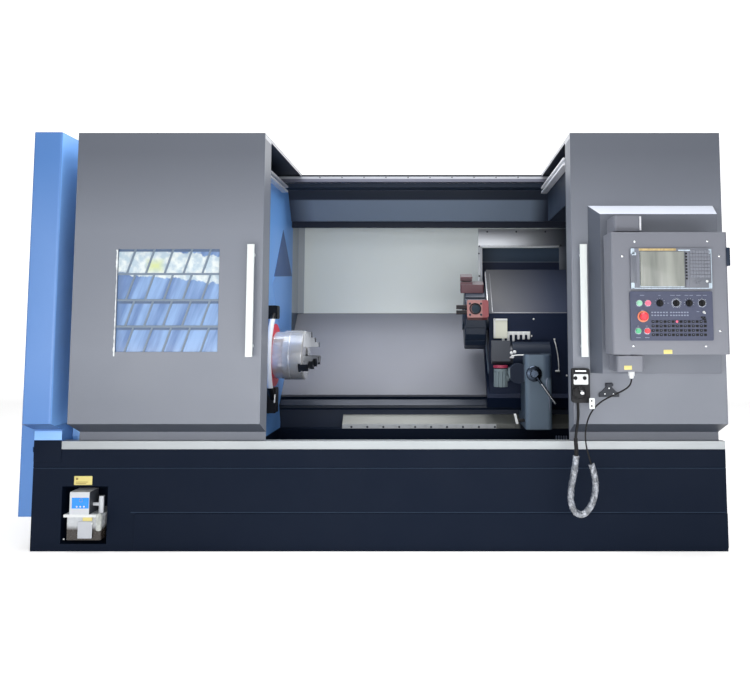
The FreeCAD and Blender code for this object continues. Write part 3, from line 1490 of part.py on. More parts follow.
def make_turning_holder():
    """The turning tool holder near the turret's top: a low foot with a tall block at one end."""
    body = new_body("turning_holder")
    seat = "(turret_apothem + seat_gap)"
    half = "(turning_height / 2)"
    base_top = "(turret_apothem + turning_base)"
    foot = pad(body, "XY", seat, base_top,
               [box_outline("turning_left", "turning_left + turning_width", f"-{half}", half)])
    soften(body, "Chamfer", foot, edges_along(foot, Vector(0, 0, 1), any_edge), "turning_edge")
    pad(body, "XY", base_top, "turret_apothem + turning_depth",
        [box_outline("turning_left", "turning_left + turning_block", f"-{half} + turning_edge",
                     f"{half} - turning_edge")])
    groove = f"({base_top} + turning_groove_lift)"
    pocket(body, "XY", groove, f"{groove} + turning_groove",
           [box_outline("turning_left - 1", "turning_left + turning_block + 1", f"-{half}", "-turning_web")])
    set_on_turret(body, SIZES["station_tilt"])
    keep("turning_holder", body)


# ---------------------------------------------------------------------------------------------
# Tailstock
# ---------------------------------------------------------------------------------------------

def make_tailstock():
    """The tailstock casting: a foot on the slanted way, a column and a barrel on the spindle's line."""
    body = new_body("tailstock_casting")
    way_line = "(way_foot - way_front + 0.42)"
    column = pad(body, "YZ", "tail_left", "tail_right",
                 [[("-tail_front", "tail_foot"), ("-tail_front", "tail_top"), ("tail_back", "tail_top"),
                   ("tail_back", "tail_foot_back"), ("way_front + way_drop - 26", "tail_foot_back"),
                   ("way_front + way_drop - 6", f"way_front + way_drop - 6 + {way_line}"),
                   ("way_front - seat_gap", f"way_front - seat_gap + {way_line}"),
                   ("way_front - seat_gap", "deck_height + 4"), ("way_front - 40", "deck_height + 4"),
                   ("way_front - 40", "tail_foot")]])
    edges = edges_along(column, Vector(0, 0, 1), lambda point: point.y < -value("tail_front") + 1)
    soften(body, "Fillet", column, edges, "tail_edge")
    pad(body, "YZ", "barrel_left", "barrel_right", circles=[("spindle_y", "spindle_z", "barrel_radius")])
    pad(body, "XZ", "-clamp_front", "spindle_y", circles=[("clamp_x", "clamp_z", "clamp_radius")])
    pocket(body, "YZ", "barrel_left - 140", "quill_left + quill_length + 10",
           circles=[("spindle_y", "spindle_z", "quill_radius + bearing_gap")])
    tailstock = doc.addObject("Part::Fuse", "tailstock_fuse")
    tailstock.Base = body
    tailstock.Tool = quill_drive()
    keep("tailstock_body", tailstock)


def quill_drive():
    """The fluted drive under the quill, with its collar."""
    body = new_body("quill_drive")
    pad(body, "XY", "motor_foot", "motor_head", circles=[("0", "0", "motor_radius")])
    flutes = []
    for number in range(SIZES["motor_flutes"]):
        angle = 2 * math.pi * number / SIZES["motor_flutes"]
        flutes.append((f"motor_radius * {math.cos(angle):.6f}", f"motor_radius * {math.sin(angle):.6f}",
                       "flute_radius"))
    pocket(body, "XY", "motor_foot", "motor_head - motor_ring", circles=flutes)
    pad(body, "YZ", "0", "clamp_x - motor_x",
        circles=[("0", "(motor_foot + motor_head) / 2", "motor_radius / 2")])
    place(body, "motor_x", "motor_y", "0")
    return body


def make_quill():
    """The quill with the tapered centre's socket in its face."""
    body = new_body("quill")
    turn(body, "XZ", [("quill_left", "socket_radius"), ("quill_left", "quill_radius - 4"),
                      ("quill_left + 4", "quill_radius"), ("quill_left + quill_length", "quill_radius"),
                      ("quill_left + quill_length", "0"), ("quill_left + socket_depth", "0"),
                      ("quill_left + socket_depth", "socket_radius")])
    place(body, *SPINDLE_LINE)
    keep("quill", body)


def make_clamp_lever():
    """The quill clamp's round hub with its long rod, leaning down to the right."""
    hub = new_body("lever_hub")
    turn(hub, "XY", [("0", "-lever_hub_depth"), ("lever_hub_radius - 26", "-lever_hub_depth"),
                     ("lever_hub_radius - 22", "-lever_hub_depth + 10"),
                     ("lever_hub_radius - 4", "-lever_hub_depth + 14"),
                     ("lever_hub_radius", "-lever_hub_depth + 18"), ("lever_hub_radius", "-seat_gap"),
                     ("0", "-seat_gap")], "V_Axis")
    place(hub, "lever_x", "-tail_front", "lever_z")
    rod = doc.addObject("Part::Cylinder", "lever_rod")
    bind(rod, Radius="lever_rod_radius", Height="lever_length")
    lean = FreeCAD.Rotation(Vector(0, 1, 0), 90 + SIZES["lever_lean"])
    rod.Placement = FreeCAD.Placement(Vector(0, 0, 0), lean)
    place(rod, "lever_x", "-tail_front - lever_hub_depth + 14", "lever_z")
    lever = doc.addObject("Part::Fuse", "clamp_lever_fuse")
    lever.Base = hub
    lever.Tool = rod
    keep("clamp_lever", lever)


# ---------------------------------------------------------------------------------------------
# Lubrication unit
# ---------------------------------------------------------------------------------------------

def make_lube_unit():
    """The oil tank under its lid, and the pump head with the filter and its elbow."""
    back = "(-base_front + recess_depth - seat_gap)"
    tank = new_body("lube_tank")
    shell = pad(tank, "XY", "tank_foot", "tank_top",
                [box_outline("-tank_left", "-tank_right", "-tank_front", back)])
    soften(tank, "Fillet", shell, edges_along(shell, Vector(0, 0, 1), any_edge), "12")
    lid = ("(-tank_left - lid_overhang)", "(-tank_right + lid_overhang)")
    pad(tank, "XY", "tank_top", "tank_top + lid_height",
        [box_outline(lid[0], lid[1], "-tank_front - lid_overhang", back)])
    keep("lube_tank", tank)
    pump = new_body("lube_pump")
    foot = "(tank_top + lid_height + seat_gap)"
    head = pad(pump, "XY", foot, "pump_top",
               [box_outline("-pump_left", "-pump_right", "-pump_front", "-pump_front + pump_depth")])
    soften(pump, "Fillet", head, edges_along(head, Vector(0, 0, 1), any_edge), "5")
    pad(pump, "XY", foot, f"{foot} + filter_height", circles=[("-filter_x", "-filter_y", "filter_radius")])
    pad(pump, "YZ", "-pump_right", "-filter_x", circles=[("-filter_y", f"{foot} + filter_height / 2", "9")])
    keep("lube_pump", pump)


# ---------------------------------------------------------------------------------------------
# Build
# ---------------------------------------------------------------------------------------------

make_base()
make_front_rail()
make_bed()
make_guide_ways()
make_slant_cover()
make_headstock()
make_wall()
make_spindle()
make_chuck_body()
for jaw_number in range(1, SIZES["jaw_count"] + 1):
    make_jaw(jaw_number)
make_chuck_guard()
make_left_end()
make_left_front_panel()
make_right_enclosure()
make_rear_enclosure()
make_header_beam()
make_top_rail()
make_doors()
make_carrier()
make_swivel_blocks()
make_control_box()
make_display_unit()
make_operator_panel()
make_controls()
make_pendant_set()
make_saddle()
make_curtain()
make_cross_slide()
make_turret()
make_boring_holder()
make_turning_holder()
make_tailstock()
make_quill()
make_clamp_lever()
make_lube_unit()
doc.recompute()

faults = []
for item in doc.Objects:
    if "Invalid" in item.State or "Error" in item.State:
        faults.append(f"{item.Name}: {item.State}")
for subpart in subparts:
    if subpart.Shape.isNull() or not subpart.Shape.isValid() or not subpart.Shape.Solids:
        faults.append(f"{subpart.Label}: shape not valid")
if faults:
    raise RuntimeError("; ".join(faults))

os.makedirs("parts", exist_ok=True)
for subpart in subparts:
    subpart.Shape.exportStep(f"parts/{subpart.Label}.step")
print(len(subparts), "sub-parts written")
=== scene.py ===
# %% [markdown]
# # A CNC turning lathe, dressed for the camera
# The machine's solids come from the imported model: doors, base, bed, chuck, turret and the rest. This
# lesson gives each of them its finish and adds what a solid model leaves out, such as keys, screws,
# hoses and the crumpled film on the pendant's cord. Every new piece sits where the solids say.

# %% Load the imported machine
import math

import bpy
import numpy as np
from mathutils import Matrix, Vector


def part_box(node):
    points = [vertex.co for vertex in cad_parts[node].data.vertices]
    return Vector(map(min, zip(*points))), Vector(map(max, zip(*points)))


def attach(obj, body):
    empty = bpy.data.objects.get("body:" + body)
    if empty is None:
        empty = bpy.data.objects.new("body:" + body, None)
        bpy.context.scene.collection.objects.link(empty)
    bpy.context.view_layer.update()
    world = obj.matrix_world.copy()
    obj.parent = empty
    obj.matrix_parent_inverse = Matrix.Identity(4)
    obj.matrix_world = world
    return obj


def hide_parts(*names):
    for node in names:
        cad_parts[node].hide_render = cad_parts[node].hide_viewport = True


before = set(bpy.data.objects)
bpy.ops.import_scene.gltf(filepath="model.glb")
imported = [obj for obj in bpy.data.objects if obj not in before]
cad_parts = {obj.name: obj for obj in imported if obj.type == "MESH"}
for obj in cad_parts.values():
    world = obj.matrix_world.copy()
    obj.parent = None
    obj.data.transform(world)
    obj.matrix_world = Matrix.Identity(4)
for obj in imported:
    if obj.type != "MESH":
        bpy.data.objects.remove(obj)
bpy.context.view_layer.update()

# %% [markdown]
# ## The photographer's place
# The photograph was taken from the operator's side, right of the middle, with the camera level with
# the chuck and tilted up a little. Its picture is also cropped off centre, which the lens shift copies.
# A longer lens from further back would be easier to light, but it would lose the view into the doors.

# %% Camera
PHOTO_WIDTH, PHOTO_HEIGHT = 750, 676
FOCAL_PIXELS = 755.0
AXIS_PIXEL = (437.0, 263.6)
EYE = (0.307, -4.835, 1.190)
EYE_PITCH = math.radians(4.8)

camera_data = bpy.data.cameras.new("photographer")
camera_data.sensor_width = 36.0
camera_data.lens = camera_data.sensor_width * FOCAL_PIXELS / PHOTO_WIDTH
camera_data.shift_x = (PHOTO_WIDTH / 2 - AXIS_PIXEL[0]) / PHOTO_WIDTH
camera_data.shift_y = (AXIS_PIXEL[1] - PHOTO_HEIGHT / 2) / PHOTO_WIDTH
camera = bpy.data.objects.new("photographer", camera_data)
camera.location = EYE
camera.rotation_euler = (math.pi / 2 + EYE_PITCH, 0.0, 0.0)
bpy.context.scene.collection.objects.link(camera)
bpy.context.scene.camera = camera
shift = round(camera_data.shift_x, 3), round(camera_data.shift_y, 3)
print("lens", round(camera_data.lens, 2), "mm, shift", shift)

# %% [markdown]
# ## The pendant's cord
# The hand pendant hangs on a bracket under the control box. Its cord comes down from a gland, runs into
# a long loop that still wears its clear wrapping, and comes back up to the pendant's foot. A cord is a
# smooth curve of fixed length, so its line is a NURBS spline through the same places as the packed
# solids. Running three pieces end to end keeps each one's thickness constant.

# %% Where the cord runs
CORD_ROUTE = [(1.290, -0.985, 0.9276), (1.288, -0.980, 0.902), (1.268, -0.966, 0.878), (1.232, -0.950, 0.856),
              (1.192, -0.936, 0.836), (1.152, -0.922, 0.812), (1.118, -0.908, 0.780), (1.092, -0.898, 0.738),
              (1.076, -0.890, 0.688), (1.070, -0.886, 0.636), (1.074, -0.884, 0.584), (1.086, -0.882, 0.534),
              (1.100, -0.880, 0.488)]
SLEEVE_ROUTE = [(1.100, -0.880, 0.488), (1.114, -0.880, 0.444), (1.121, -0.880, 0.398),
                (1.119, -0.880, 0.352), (1.108, -0.882, 0.306), (1.086, -0.884, 0.262),
                (1.052, -0.884, 0.232), (1.016, -0.882, 0.242), (0.996, -0.879, 0.278),
                (0.992, -0.877, 0.326), (0.998, -0.876, 0.378), (1.010, -0.875, 0.432),
                (1.020, -0.874, 0.484), (1.025, -0.873, 0.528)]
LEAD_ROUTE = [(1.025, -0.873, 0.528), (1.027, -0.872, 0.560), (1.024, -0.871, 0.592), (1.024, -0.870, 0.628),
              (1.031, -0.868, 0.666), (1.038, -0.864, 0.706), (1.042, -0.858, 0.744), (1.042, -0.852, 0.774),
              (1.042, -0.8513, 0.797)]


# %% A smooth cord along its route
def cord_line(name, route, radius=0.0):
    """One open NURBS spline of order 3 whose control points are the route."""
    line = bpy.data.curves.new(name, "CURVE")
    line.dimensions = "3D"
    spline = line.splines.new("NURBS")
    spline.points.add(len(route) - 1)
    spline.points.foreach_set("co", np.column_stack([route, np.ones(len(route))]).ravel())
    spline.order_u = 3
    spline.use_endpoint_u = True
    line.resolution_u = 10
    line.bevel_depth = radius
    line.bevel_resolution = 5
    line.use_fill_caps = True
    return bpy.data.objects.new(name, line)


def read_line(route):
    """The points of the spline itself, as Blender works them out for a line without thickness."""
    bare = cord_line("bare_line", route)
    mesh = bpy.data.meshes.new_from_object(bare)
    points = np.empty(len(mesh.vertices) * 3)
    mesh.vertices.foreach_get("co", points)
    bpy.data.objects.remove(bare)
    bpy.data.meshes.remove(mesh)
    return points.reshape(-1, 3)


upper_cord = cord_line("pendant_cord", CORD_ROUTE, 0.004)
lower_cord = cord_line("pendant_lead", LEAD_ROUTE, 0.007)
loop_points = read_line(SLEEVE_ROUTE)
print("loop read at", len(loop_points), "points")

# %% [markdown]
# ## A few shapes for everything else
# Nearly every small part on a machine is either turned or a plate with rounded corners, and both are
# the same thing: rings of points stacked on an axis. The corner centres sit apart for a plate and
# together for a turned part. One such stack, set on the face that carries it, makes screws, knobs,
# keys, labels and covers, and needs no modifiers.

# %% Rings, and faces between them
def grid_faces(rows, columns, wrap=True):
    """Quads between neighbouring points of a grid; wrap joins the last column to the first."""
    across = np.arange(columns if wrap else columns - 1)
    beside = (across + 1) % columns
    down = np.arange(rows - 1)[:, None] * columns
    below = down + columns
    quads = np.stack([down + across, down + beside, below + beside, below + across], axis=-1)
    return quads.reshape(-1, 4).tolist()


def closed(rings):
    """A shell of points and faces: quads between the rings, and a flat face on the first and the last."""
    levels, around = rings.shape[:2]
    last = (levels - 1) * around
    caps = [list(range(around))[::-1], list(range(last, last + around))]
    return rings.reshape(-1, 3), grid_faces(levels, around) + caps


def stack(reach, height, spread=(0.0, 0.0), steps=24):
    """At each height, four corners at plus and minus spread, each with a quarter circle of radius reach."""
    reach = np.maximum(np.asarray(reach, float), 1e-5)[:, None]
    each = steps // 4
    quarter, step = np.arange(steps) // each, np.arange(steps) % each
    turn = (quarter + step / (each - 1.0)) * math.pi / 2
    if spread == (0.0, 0.0):
        turn = np.arange(steps) / steps * 2.0 * math.pi
    across = np.array([1, -1, -1, 1])[quarter] * spread[0] + reach * np.cos(turn)
    up = np.array([1, 1, -1, -1])[quarter] * spread[1] + reach * np.sin(turn)
    return closed(np.stack(np.broadcast_arrays(across, up, np.asarray(height, float)[:, None]), axis=-1))


def plate(width, height, thick, corner=0.003, soft=0.001, steps=24):
    """A stack whose last rings turn inwards by soft on a quarter circle, so its front edge is rounded."""
    bend = np.linspace(0.0, math.pi / 2, 4)
    reach = [corner, *(corner - soft + soft * np.cos(bend))]
    rise = [0.0, *(thick - soft + soft * np.sin(bend))]
    return stack(reach, rise, (width / 2 - corner, height / 2 - corner), steps)


# %% Setting shells on a face
def onto(shell, place, across=(1.0, 0.0, 0.0), up=(0.0, 0.0, 1.0)):
    """Carry a shell from its own axes to a face: along across, along up, and out of the face."""
    across, up = (np.array(axis, float) / np.linalg.norm(axis) for axis in (across, up))
    points, faces = shell
    return points @ np.stack([across, up, np.cross(across, up)]) + np.array(place, float), faces


def many(shell, places):
    """One copy of a shell at each place, all in one shell."""
    points, faces = shell
    places = np.asarray(places, float).reshape(-1, 1, 3)
    copies = (points[None] + places).reshape(-1, 3)
    starts = [copy * len(points) for copy in range(len(places))]
    return copies, [[corner + start for corner in face] for start in starts for face in faces]


def join(shells):
    """Several shells as one."""
    starts = np.cumsum([0] + [len(points) for points, _ in shells])
    faces = []
    for (_, part), start in zip(shells, starts):
        faces += [[corner + int(start) for corner in face] for face in part]
    return np.concatenate([points for points, _ in shells]), faces


def put(name, shells, material, body, angle=38.0):
    """Make a piece of the object from shells, with its finish, riding on a body."""
    points, faces = join(shells if isinstance(shells, list) else [shells])
    mesh = bpy.data.meshes.new(name)
    mesh.from_pydata(points.tolist(), [], faces)
    mesh.shade_smooth()
    mesh.set_sharp_from_angle(angle=math.radians(angle))
    mesh.materials.append(material)
    piece = bpy.data.objects.new(name, mesh)
    bpy.context.scene.collection.objects.link(piece)
    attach(piece, body)
    return piece


# %% A tube along a path
def tube(path, radius, steps=12, swell=None):
    """A ring of radius carried along a path: each point plus radius times two directions square to it,
    the first of them level with the front, so no path may run straight to the back.
    swell, if given, multiplies the radius for every point of every ring."""
    path = np.asarray(path, float)
    along = np.gradient(path, axis=0)
    along /= np.linalg.norm(along, axis=1, keepdims=True)
    side = np.cross(along, np.array([0.0, 1.0, 0.0]))
    side /= np.linalg.norm(side, axis=1, keepdims=True)
    rise = np.cross(along, side)
    turn = np.arange(steps) / steps * 2.0 * math.pi
    reach = radius * (np.ones((len(path), steps)) if swell is None else swell)
    rings = (path[:, None, :] + (reach * np.cos(turn))[:, :, None] * side[:, None, :]
             + (reach * np.sin(turn))[:, :, None] * rise[:, None, :])
    return closed(rings)


def smooth_path(points, steps=8):
    """A line that passes through every point: between two, a cubic whose slopes follow their neighbours."""
    points = np.asarray(points, float)
    padded = np.concatenate([2 * points[:1] - points[1:2], points, 2 * points[-1:] - points[-2:-1]])
    before, start, end, after = padded[:-3], padded[1:-2], padded[2:-1], padded[3:]
    t = (np.arange(steps) / steps)[None, :, None]
    a, b, c, d = (group[:, None, :] for group in (before, start, end, after))
    line = 0.5 * (2 * b + (c - a) * t + (2 * a - 5 * b + 4 * c - d) * t ** 2
                  + (3 * b - a - 3 * c + d) * t ** 3)
    return np.concatenate([line.reshape(-1, 3), points[-1:]])


# %% [markdown]
# ## Floor, backdrop and light
# A machine this wide needs large soft lamps, or its flat doors show hot spots. The pale floor and the
# backdrop are one swept sheet, so no corner shows. The view transform is Standard, so that a colour
# comes out about as it is written.

# %% Small helpers for colours and nodes
def linear(colour):
    """A colour picked on screen, three numbers up to 255, as the four linear values that shaders use: below
    a small value divided by 12.92, above it a power of 2.4. Four numbers are linear already."""
    if len(colour) == 4:
        return colour
    screen = np.array(colour) / 255.0
    values = np.where(screen <= 0.04045, screen / 12.92, ((screen + 0.055) / 1.055) ** 2.4)
    return (*map(float, values), 1.0)


def plug(tree, socket, setting):
    """Link another socket to this one, or give it a plain value."""
    if isinstance(setting, bpy.types.NodeSocket):
        tree.links.new(setting, socket)
    else:
        socket.default_value = setting


def fill(tree, node, **settings):
    """Settings whose name is a socket's go to that socket, the rest are the node's properties."""
    for key, setting in settings.items():
        socket = key.replace("_", " ")
        if socket in node.inputs:
            plug(tree, node.inputs[socket], setting)
        else:
            setattr(node, key, setting)


def add_node(tree, kind, **settings):
    """A shader node of one kind, with its settings."""
    node = tree.nodes.new("ShaderNode" + kind)
    fill(tree, node, **settings)
    return node


def reckon(tree, operation, *amounts, kind="Math"):
    """The outputs of a Math or VectorMath node whose inputs are these amounts, in order."""
    node = add_node(tree, kind, operation=operation)
    for socket, amount in zip(node.inputs, amounts):
        plug(tree, socket, amount)
    return node.outputs


def new_material(name):
    """An empty node material, with its tree and its shader."""
    material = bpy.data.materials.new(name)
    material.use_nodes = True
    tree = material.node_tree
    return material, tree, tree.nodes["Principled BSDF"]


def coordinates(tree):
    """The object's own coordinates, which no unwrapping is needed for."""
    return add_node(tree, "TexCoord").outputs["Object"]


def spread(tree, source, low, high, start=0.3, end=0.7):
    """A value between start and end carried to the range low to high."""
    carry = add_node(tree, "MapRange", Value=source, From_Min=start, From_Max=end, To_Min=low, To_Max=high)
    return carry.outputs["Result"]


print("white on screen is", linear((255, 255, 255)))

# %% Floor and backdrop in one sheet
def swept_floor(width=44.0, front=-22.0, back=7.0, bend=3.0, height=14.0, steps=24):
    """A floor that bends up into a wall: straight, then a quarter circle of radius bend, then straight."""
    turn = np.linspace(0.0, math.pi / 2, steps)
    run = np.concatenate([[front], back + bend * np.sin(turn), [back + bend]])
    rise = np.concatenate([[0.0], bend - bend * np.cos(turn), [height]])
    side = np.array([-width / 2, width / 2])
    points = np.stack(np.broadcast_arrays(side[:, None], run[None, :], rise[None, :]), axis=-1)
    count = len(run)
    start = np.arange(count - 1)
    quads = np.stack([start + count, start + count + 1, start + 1, start], axis=1)
    mesh = bpy.data.meshes.new("studio_floor")
    mesh.from_pydata(points.reshape(-1, 3).tolist(), [], quads.tolist())
    mesh.shade_smooth()
    return bpy.data.objects.new("studio_floor", mesh)


floor = swept_floor()
bpy.context.scene.collection.objects.link(floor)
print("floor", len(floor.data.polygons), "faces")

# %% Paper for the floor: lit as usual, with white added where the camera, gloss or glass sees it
PAPER_GLOW_LOW, PAPER_GLOW_HIGH, GLOW_HEIGHT = 0.60, 0.95, 0.3


def studio_paper():
    """Matt pale paper. Its added white grows with height, so the floor keeps the machine's shadow."""
    material, tree, shader = new_material("studio_paper")
    ray = add_node(tree, "LightPath").outputs
    seen = reckon(tree, "MAXIMUM", ray["Is Camera Ray"], ray["Is Glossy Ray"])[0]
    seen = reckon(tree, "MAXIMUM", seen, ray["Is Transmission Ray"])[0]
    height = add_node(tree, "SeparateXYZ", Vector=coordinates(tree)).outputs["Z"]
    glow = spread(tree, height, PAPER_GLOW_LOW, PAPER_GLOW_HIGH, 0.0, GLOW_HEIGHT)
    fill(tree, shader, Base_Color=(0.84, 0.84, 0.84, 1.0), Roughness=0.9, Specular_IOR_Level=0.1,
         Emission_Color=(1.0, 1.0, 1.0, 1.0), Emission_Strength=reckon(tree, "MULTIPLY", seen, glow)[0])
    return material


floor.data.materials.append(studio_paper())
print("paper glows from", PAPER_GLOW_LOW, "to", PAPER_GLOW_HIGH)

# %% World and lamps
world = bpy.data.worlds.new("studio_air")
world.use_nodes = True
bpy.context.scene.world = world
fill(world.node_tree, world.node_tree.nodes["Background"], Color=(1.0, 1.0, 1.0, 1.0), Strength=0.32)
bpy.context.scene.view_settings.view_transform = "Standard"


def soft_lamp(name, place, target, width, height, power):
    """A rectangular lamp at a place, facing a target."""
    lamp = bpy.data.lights.new(name, "AREA")
    lamp.shape = "RECTANGLE"
    lamp.size = width
    lamp.size_y = height
    lamp.energy = power
    holder = bpy.data.objects.new(name, lamp)
    holder.location = place
    toward = np.array(target, float) - np.array(place, float)
    yaw = math.atan2(toward[0], -toward[1])
    tilt = math.atan2(math.hypot(toward[0], toward[1]), -toward[2])
    holder.rotation_euler = (tilt, 0.0, yaw + math.pi)
    holder.visible_camera = False
    bpy.context.scene.collection.objects.link(holder)
    return holder


soft_lamp("front_lamp", (0.1, -6.6, 1.55), (0.1, 0.0, 1.15), 8.0, 1.5, 84.0)
soft_lamp("strip_lamp", (0.1, -5.6, 4.0), (0.1, 0.0, 1.1), 8.0, 0.9, 30.0)
soft_lamp("low_lamp", (0.3, -3.2, 0.75), (0.1, 0.0, 1.0), 6.0, 0.5, 52.0)
soft_lamp("top_lamp", (0.3, -0.5, 5.2), (0.1, 0.4, 1.0), 4.5, 2.4, 330.0)
print(len(bpy.data.lights), "lamps")

# %% [markdown]
# ## Paint
# Sheet metal covers are sprayed and baked. Close up, the colour is a little cloudy, the gloss is uneven
# and the surface has a fine peel; edges are rounded and painted lighter, partly as thin, rubbed paint and
# partly as a painted highlight. An image could show this, but noise on the object's own coordinates needs
# no unwrapping and stays sharp.
# The rounded edge comes from the Bevel node, which leaves the imported meshes alone.

# %% Noise on the object's coordinates, and colours mixed by it
def noise(tree, scale, detail=3.0, stretch=(1.0, 1.0, 1.0)):
    """Noise from 0 to 1 at a scale in cycles a metre, drawn out along an axis whose stretch is small."""
    squeeze = add_node(tree, "Mapping", Vector=coordinates(tree), Scale=stretch)
    cloud = add_node(tree, "TexNoise", Vector=squeeze.outputs["Vector"], Scale=scale, Detail=detail)
    return cloud.outputs["Fac"]


def mix_colours(tree, factor, first, second):
    """The first colour at factor 0 and the second at 1. Each is a colour or a socket."""
    mixer = add_node(tree, "Mix", data_type="RGBA", Factor=factor)
    for socket, colour in ((mixer.inputs[6], first), (mixer.inputs[7], second)):
        plug(tree, socket, linear(colour) if isinstance(colour, tuple) else colour)
    return mixer.outputs[2]


def shade(colour, amount):
    """A colour made darker (amount below 1) or lighter (above 1)."""
    return tuple(min(1.0, channel * amount) for channel in linear(colour)[:3]) + (1.0,)


def clouded(tree, factor, colour, amount):
    """A colour that varies with the factor, by amount to the darker and to the lighter side."""
    return mix_colours(tree, factor, shade(colour, 1.0 - amount), shade(colour, 1.0 + amount))


# %% Masks by place and by direction, for covers and castings that wear two colours
def within(tree, low, high, soft=0.001):
    """1 inside a box of the object's coordinates and 0 outside, from the farthest distance past its faces."""
    low, high = np.array(low, float), np.array(high, float)
    past = reckon(tree, "SUBTRACT", coordinates(tree), (low + high) / 2, kind="VectorMath")[0]
    past = reckon(tree, "ABSOLUTE", past, kind="VectorMath")[0]
    past = reckon(tree, "SUBTRACT", past, (high - low) / 2, kind="VectorMath")[0]
    x, y, z = add_node(tree, "SeparateXYZ", Vector=past).outputs
    farthest = reckon(tree, "MAXIMUM", reckon(tree, "MAXIMUM", x, y)[0], z)[0]
    return spread(tree, farthest, 1.0, 0.0, -soft, soft)


def toward(tree, direction, start=0.80, end=0.90):
    """1 where the surface itself faces a direction: the dot product of its normal and the direction."""
    normal = add_node(tree, "NewGeometry").outputs["Normal"]
    direction = np.array(direction, float) / np.linalg.norm(direction)
    likeness = reckon(tree, "DOT_PRODUCT", normal, direction, kind="VectorMath")["Value"]
    return spread(tree, likeness, 0.0, 1.0, start, end)


FAR = 9.0
EVERYWHERE = (-FAR, FAR)


def zone(colour, x=EVERYWHERE, y=EVERYWHERE, z=EVERYWHERE, soft=0.001, facing=None):
    """A colour for a box of the object's coordinates, and if named, only for faces turned one way."""
    low, high = zip(x, y, z)
    return {"colour": colour, "low": low, "high": high, "soft": soft, "facing": facing}


def zoned(tree, colour, zones):
    """Lay each zone's colour over the ones before."""
    for part in zones:
        mask = within(tree, part["low"], part["high"], part["soft"])
        if part["facing"]:
            mask = reckon(tree, "MULTIPLY", mask, toward(tree, part["facing"]))[0]
        colour = mix_colours(tree, mask, colour, part["colour"])
    return colour


# %% Edges and fine relief
def rounded_edges(tree, radius):
    """The rounded normal near edges, and a mask that is 1 on them."""
    rounded = add_node(tree, "Bevel", samples=4, Radius=radius).outputs["Normal"]
    flat = add_node(tree, "NewGeometry").outputs["Normal"]
    likeness = reckon(tree, "DOT_PRODUCT", rounded, flat, kind="VectorMath")["Value"]
    return rounded, spread(tree, likeness, 1.0, 0.0, 0.86, 0.995)


def relief(tree, shader, height, strength, depth, normal=None):
    """Raise the surface by a height from 0 to 1, depth metres at most."""
    bump = add_node(tree, "Bump", Strength=strength, Distance=depth, Height=height)
    if normal is not None:
        plug(tree, bump.inputs["Normal"], normal)
    plug(tree, shader.inputs["Normal"], bump.outputs["Normal"])


# %% One sprayed paint, in many colours
def paint(name, colour, gloss=0.42, clouds=0.05, edge_wear_and_sheen=1.5, edge=0.003, shine=0.5, peel=0.25, zones=()):
    """Sprayed paint: cloudy colour, uneven gloss, a fine peel and rounded edges painted lighter, as worn
    paint and as a painted highlight.
    """
    material, tree, shader = new_material(name)
    mottled = zoned(tree, clouded(tree, noise(tree, 1.1, 5.0), colour, clouds), zones)
    # Lighter edges: partly wear, partly a painted highlight.
    normal, edges = rounded_edges(tree, edge)
    patchy = reckon(tree, "MULTIPLY", edges, spread(tree, noise(tree, 23.0), 0.15, 0.6))[0]
    fill(tree, shader, Base_Color=mix_colours(tree, patchy, mottled, shade(colour, edge_wear_and_sheen)),
         Roughness=spread(tree, noise(tree, 3.0, 4.0), gloss - 0.05, gloss + 0.06), Specular_IOR_Level=shine)
    relief(tree, shader, noise(tree, 420.0, 2.0), peel, 0.0004, normal)
    return material


# %% [markdown]
# ## Bare metal
# Steel shows how it was worked: turned steel has rings round its axis, ground steel has scratches along
# the stroke, stainless sheet has a brushed grain. Each is the same noise drawn out along one direction.

# %% Steel with a grain
def steel(name, colour, gloss=0.28, stretch=(1.0, 1.0, 1.0), scale=160.0, clouds=0.1, metal=1.0, edge=0.002,
          stain=0.85, cut=0.1, zones=()):
    """Bare metal whose noise is drawn out along its grain, in the colour, the gloss and a fine relief."""
    material, tree, shader = new_material(name)
    grain = noise(tree, scale, 4.0, stretch)
    patches = spread(tree, noise(tree, 2.2, 4.0), 0.0, 0.5, 0.45, 0.75)
    stained = mix_colours(tree, patches, clouded(tree, grain, colour, clouds), shade(colour, stain))
    fill(tree, shader, Base_Color=zoned(tree, stained, zones), Metallic=metal,
         Roughness=spread(tree, grain, gloss - 0.04, gloss + 0.06))
    relief(tree, shader, grain, cut, 0.0001, rounded_edges(tree, edge)[0])
    return material


# %% Plastic and rubber
def plastic(name, colour, gloss=0.45, clouds=0.05, grain=0.3, scale=900.0, glow=0.0, shine=0.5, zones=()):
    """Moulded plastic: an even colour with a fine spark-eroded grain; glow lights it from inside."""
    material, tree, shader = new_material(name)
    fill(tree, shader, Base_Color=zoned(tree, clouded(tree, noise(tree, 14.0, 3.0), colour, clouds), zones),
         Emission_Color=linear(colour), Emission_Strength=glow, Specular_IOR_Level=shine,
         Roughness=spread(tree, noise(tree, 60.0), gloss - 0.06, gloss + 0.08))
    relief(tree, shader, noise(tree, scale, 2.0), grain, 0.0002, rounded_edges(tree, 0.001)[0])
    return material


# %% Colours that more than one finish needs
DEEP_NAVY, NAVY, INNER_BLUE = (14, 22, 38), (10, 21, 38), (104, 158, 226)
DOOR_GREY, POST_GREY, TRIM_PALE = (120, 125, 136), (166, 174, 182), (226, 229, 233)
SHEET_LIT_GREY, SHEET_COLD = (92, 93, 97), (56, 63, 82)
SEAM_LIGHT, BLACK = (48, 62, 80), (16, 17, 21)
print("door grey is", linear(DOOR_GREY))

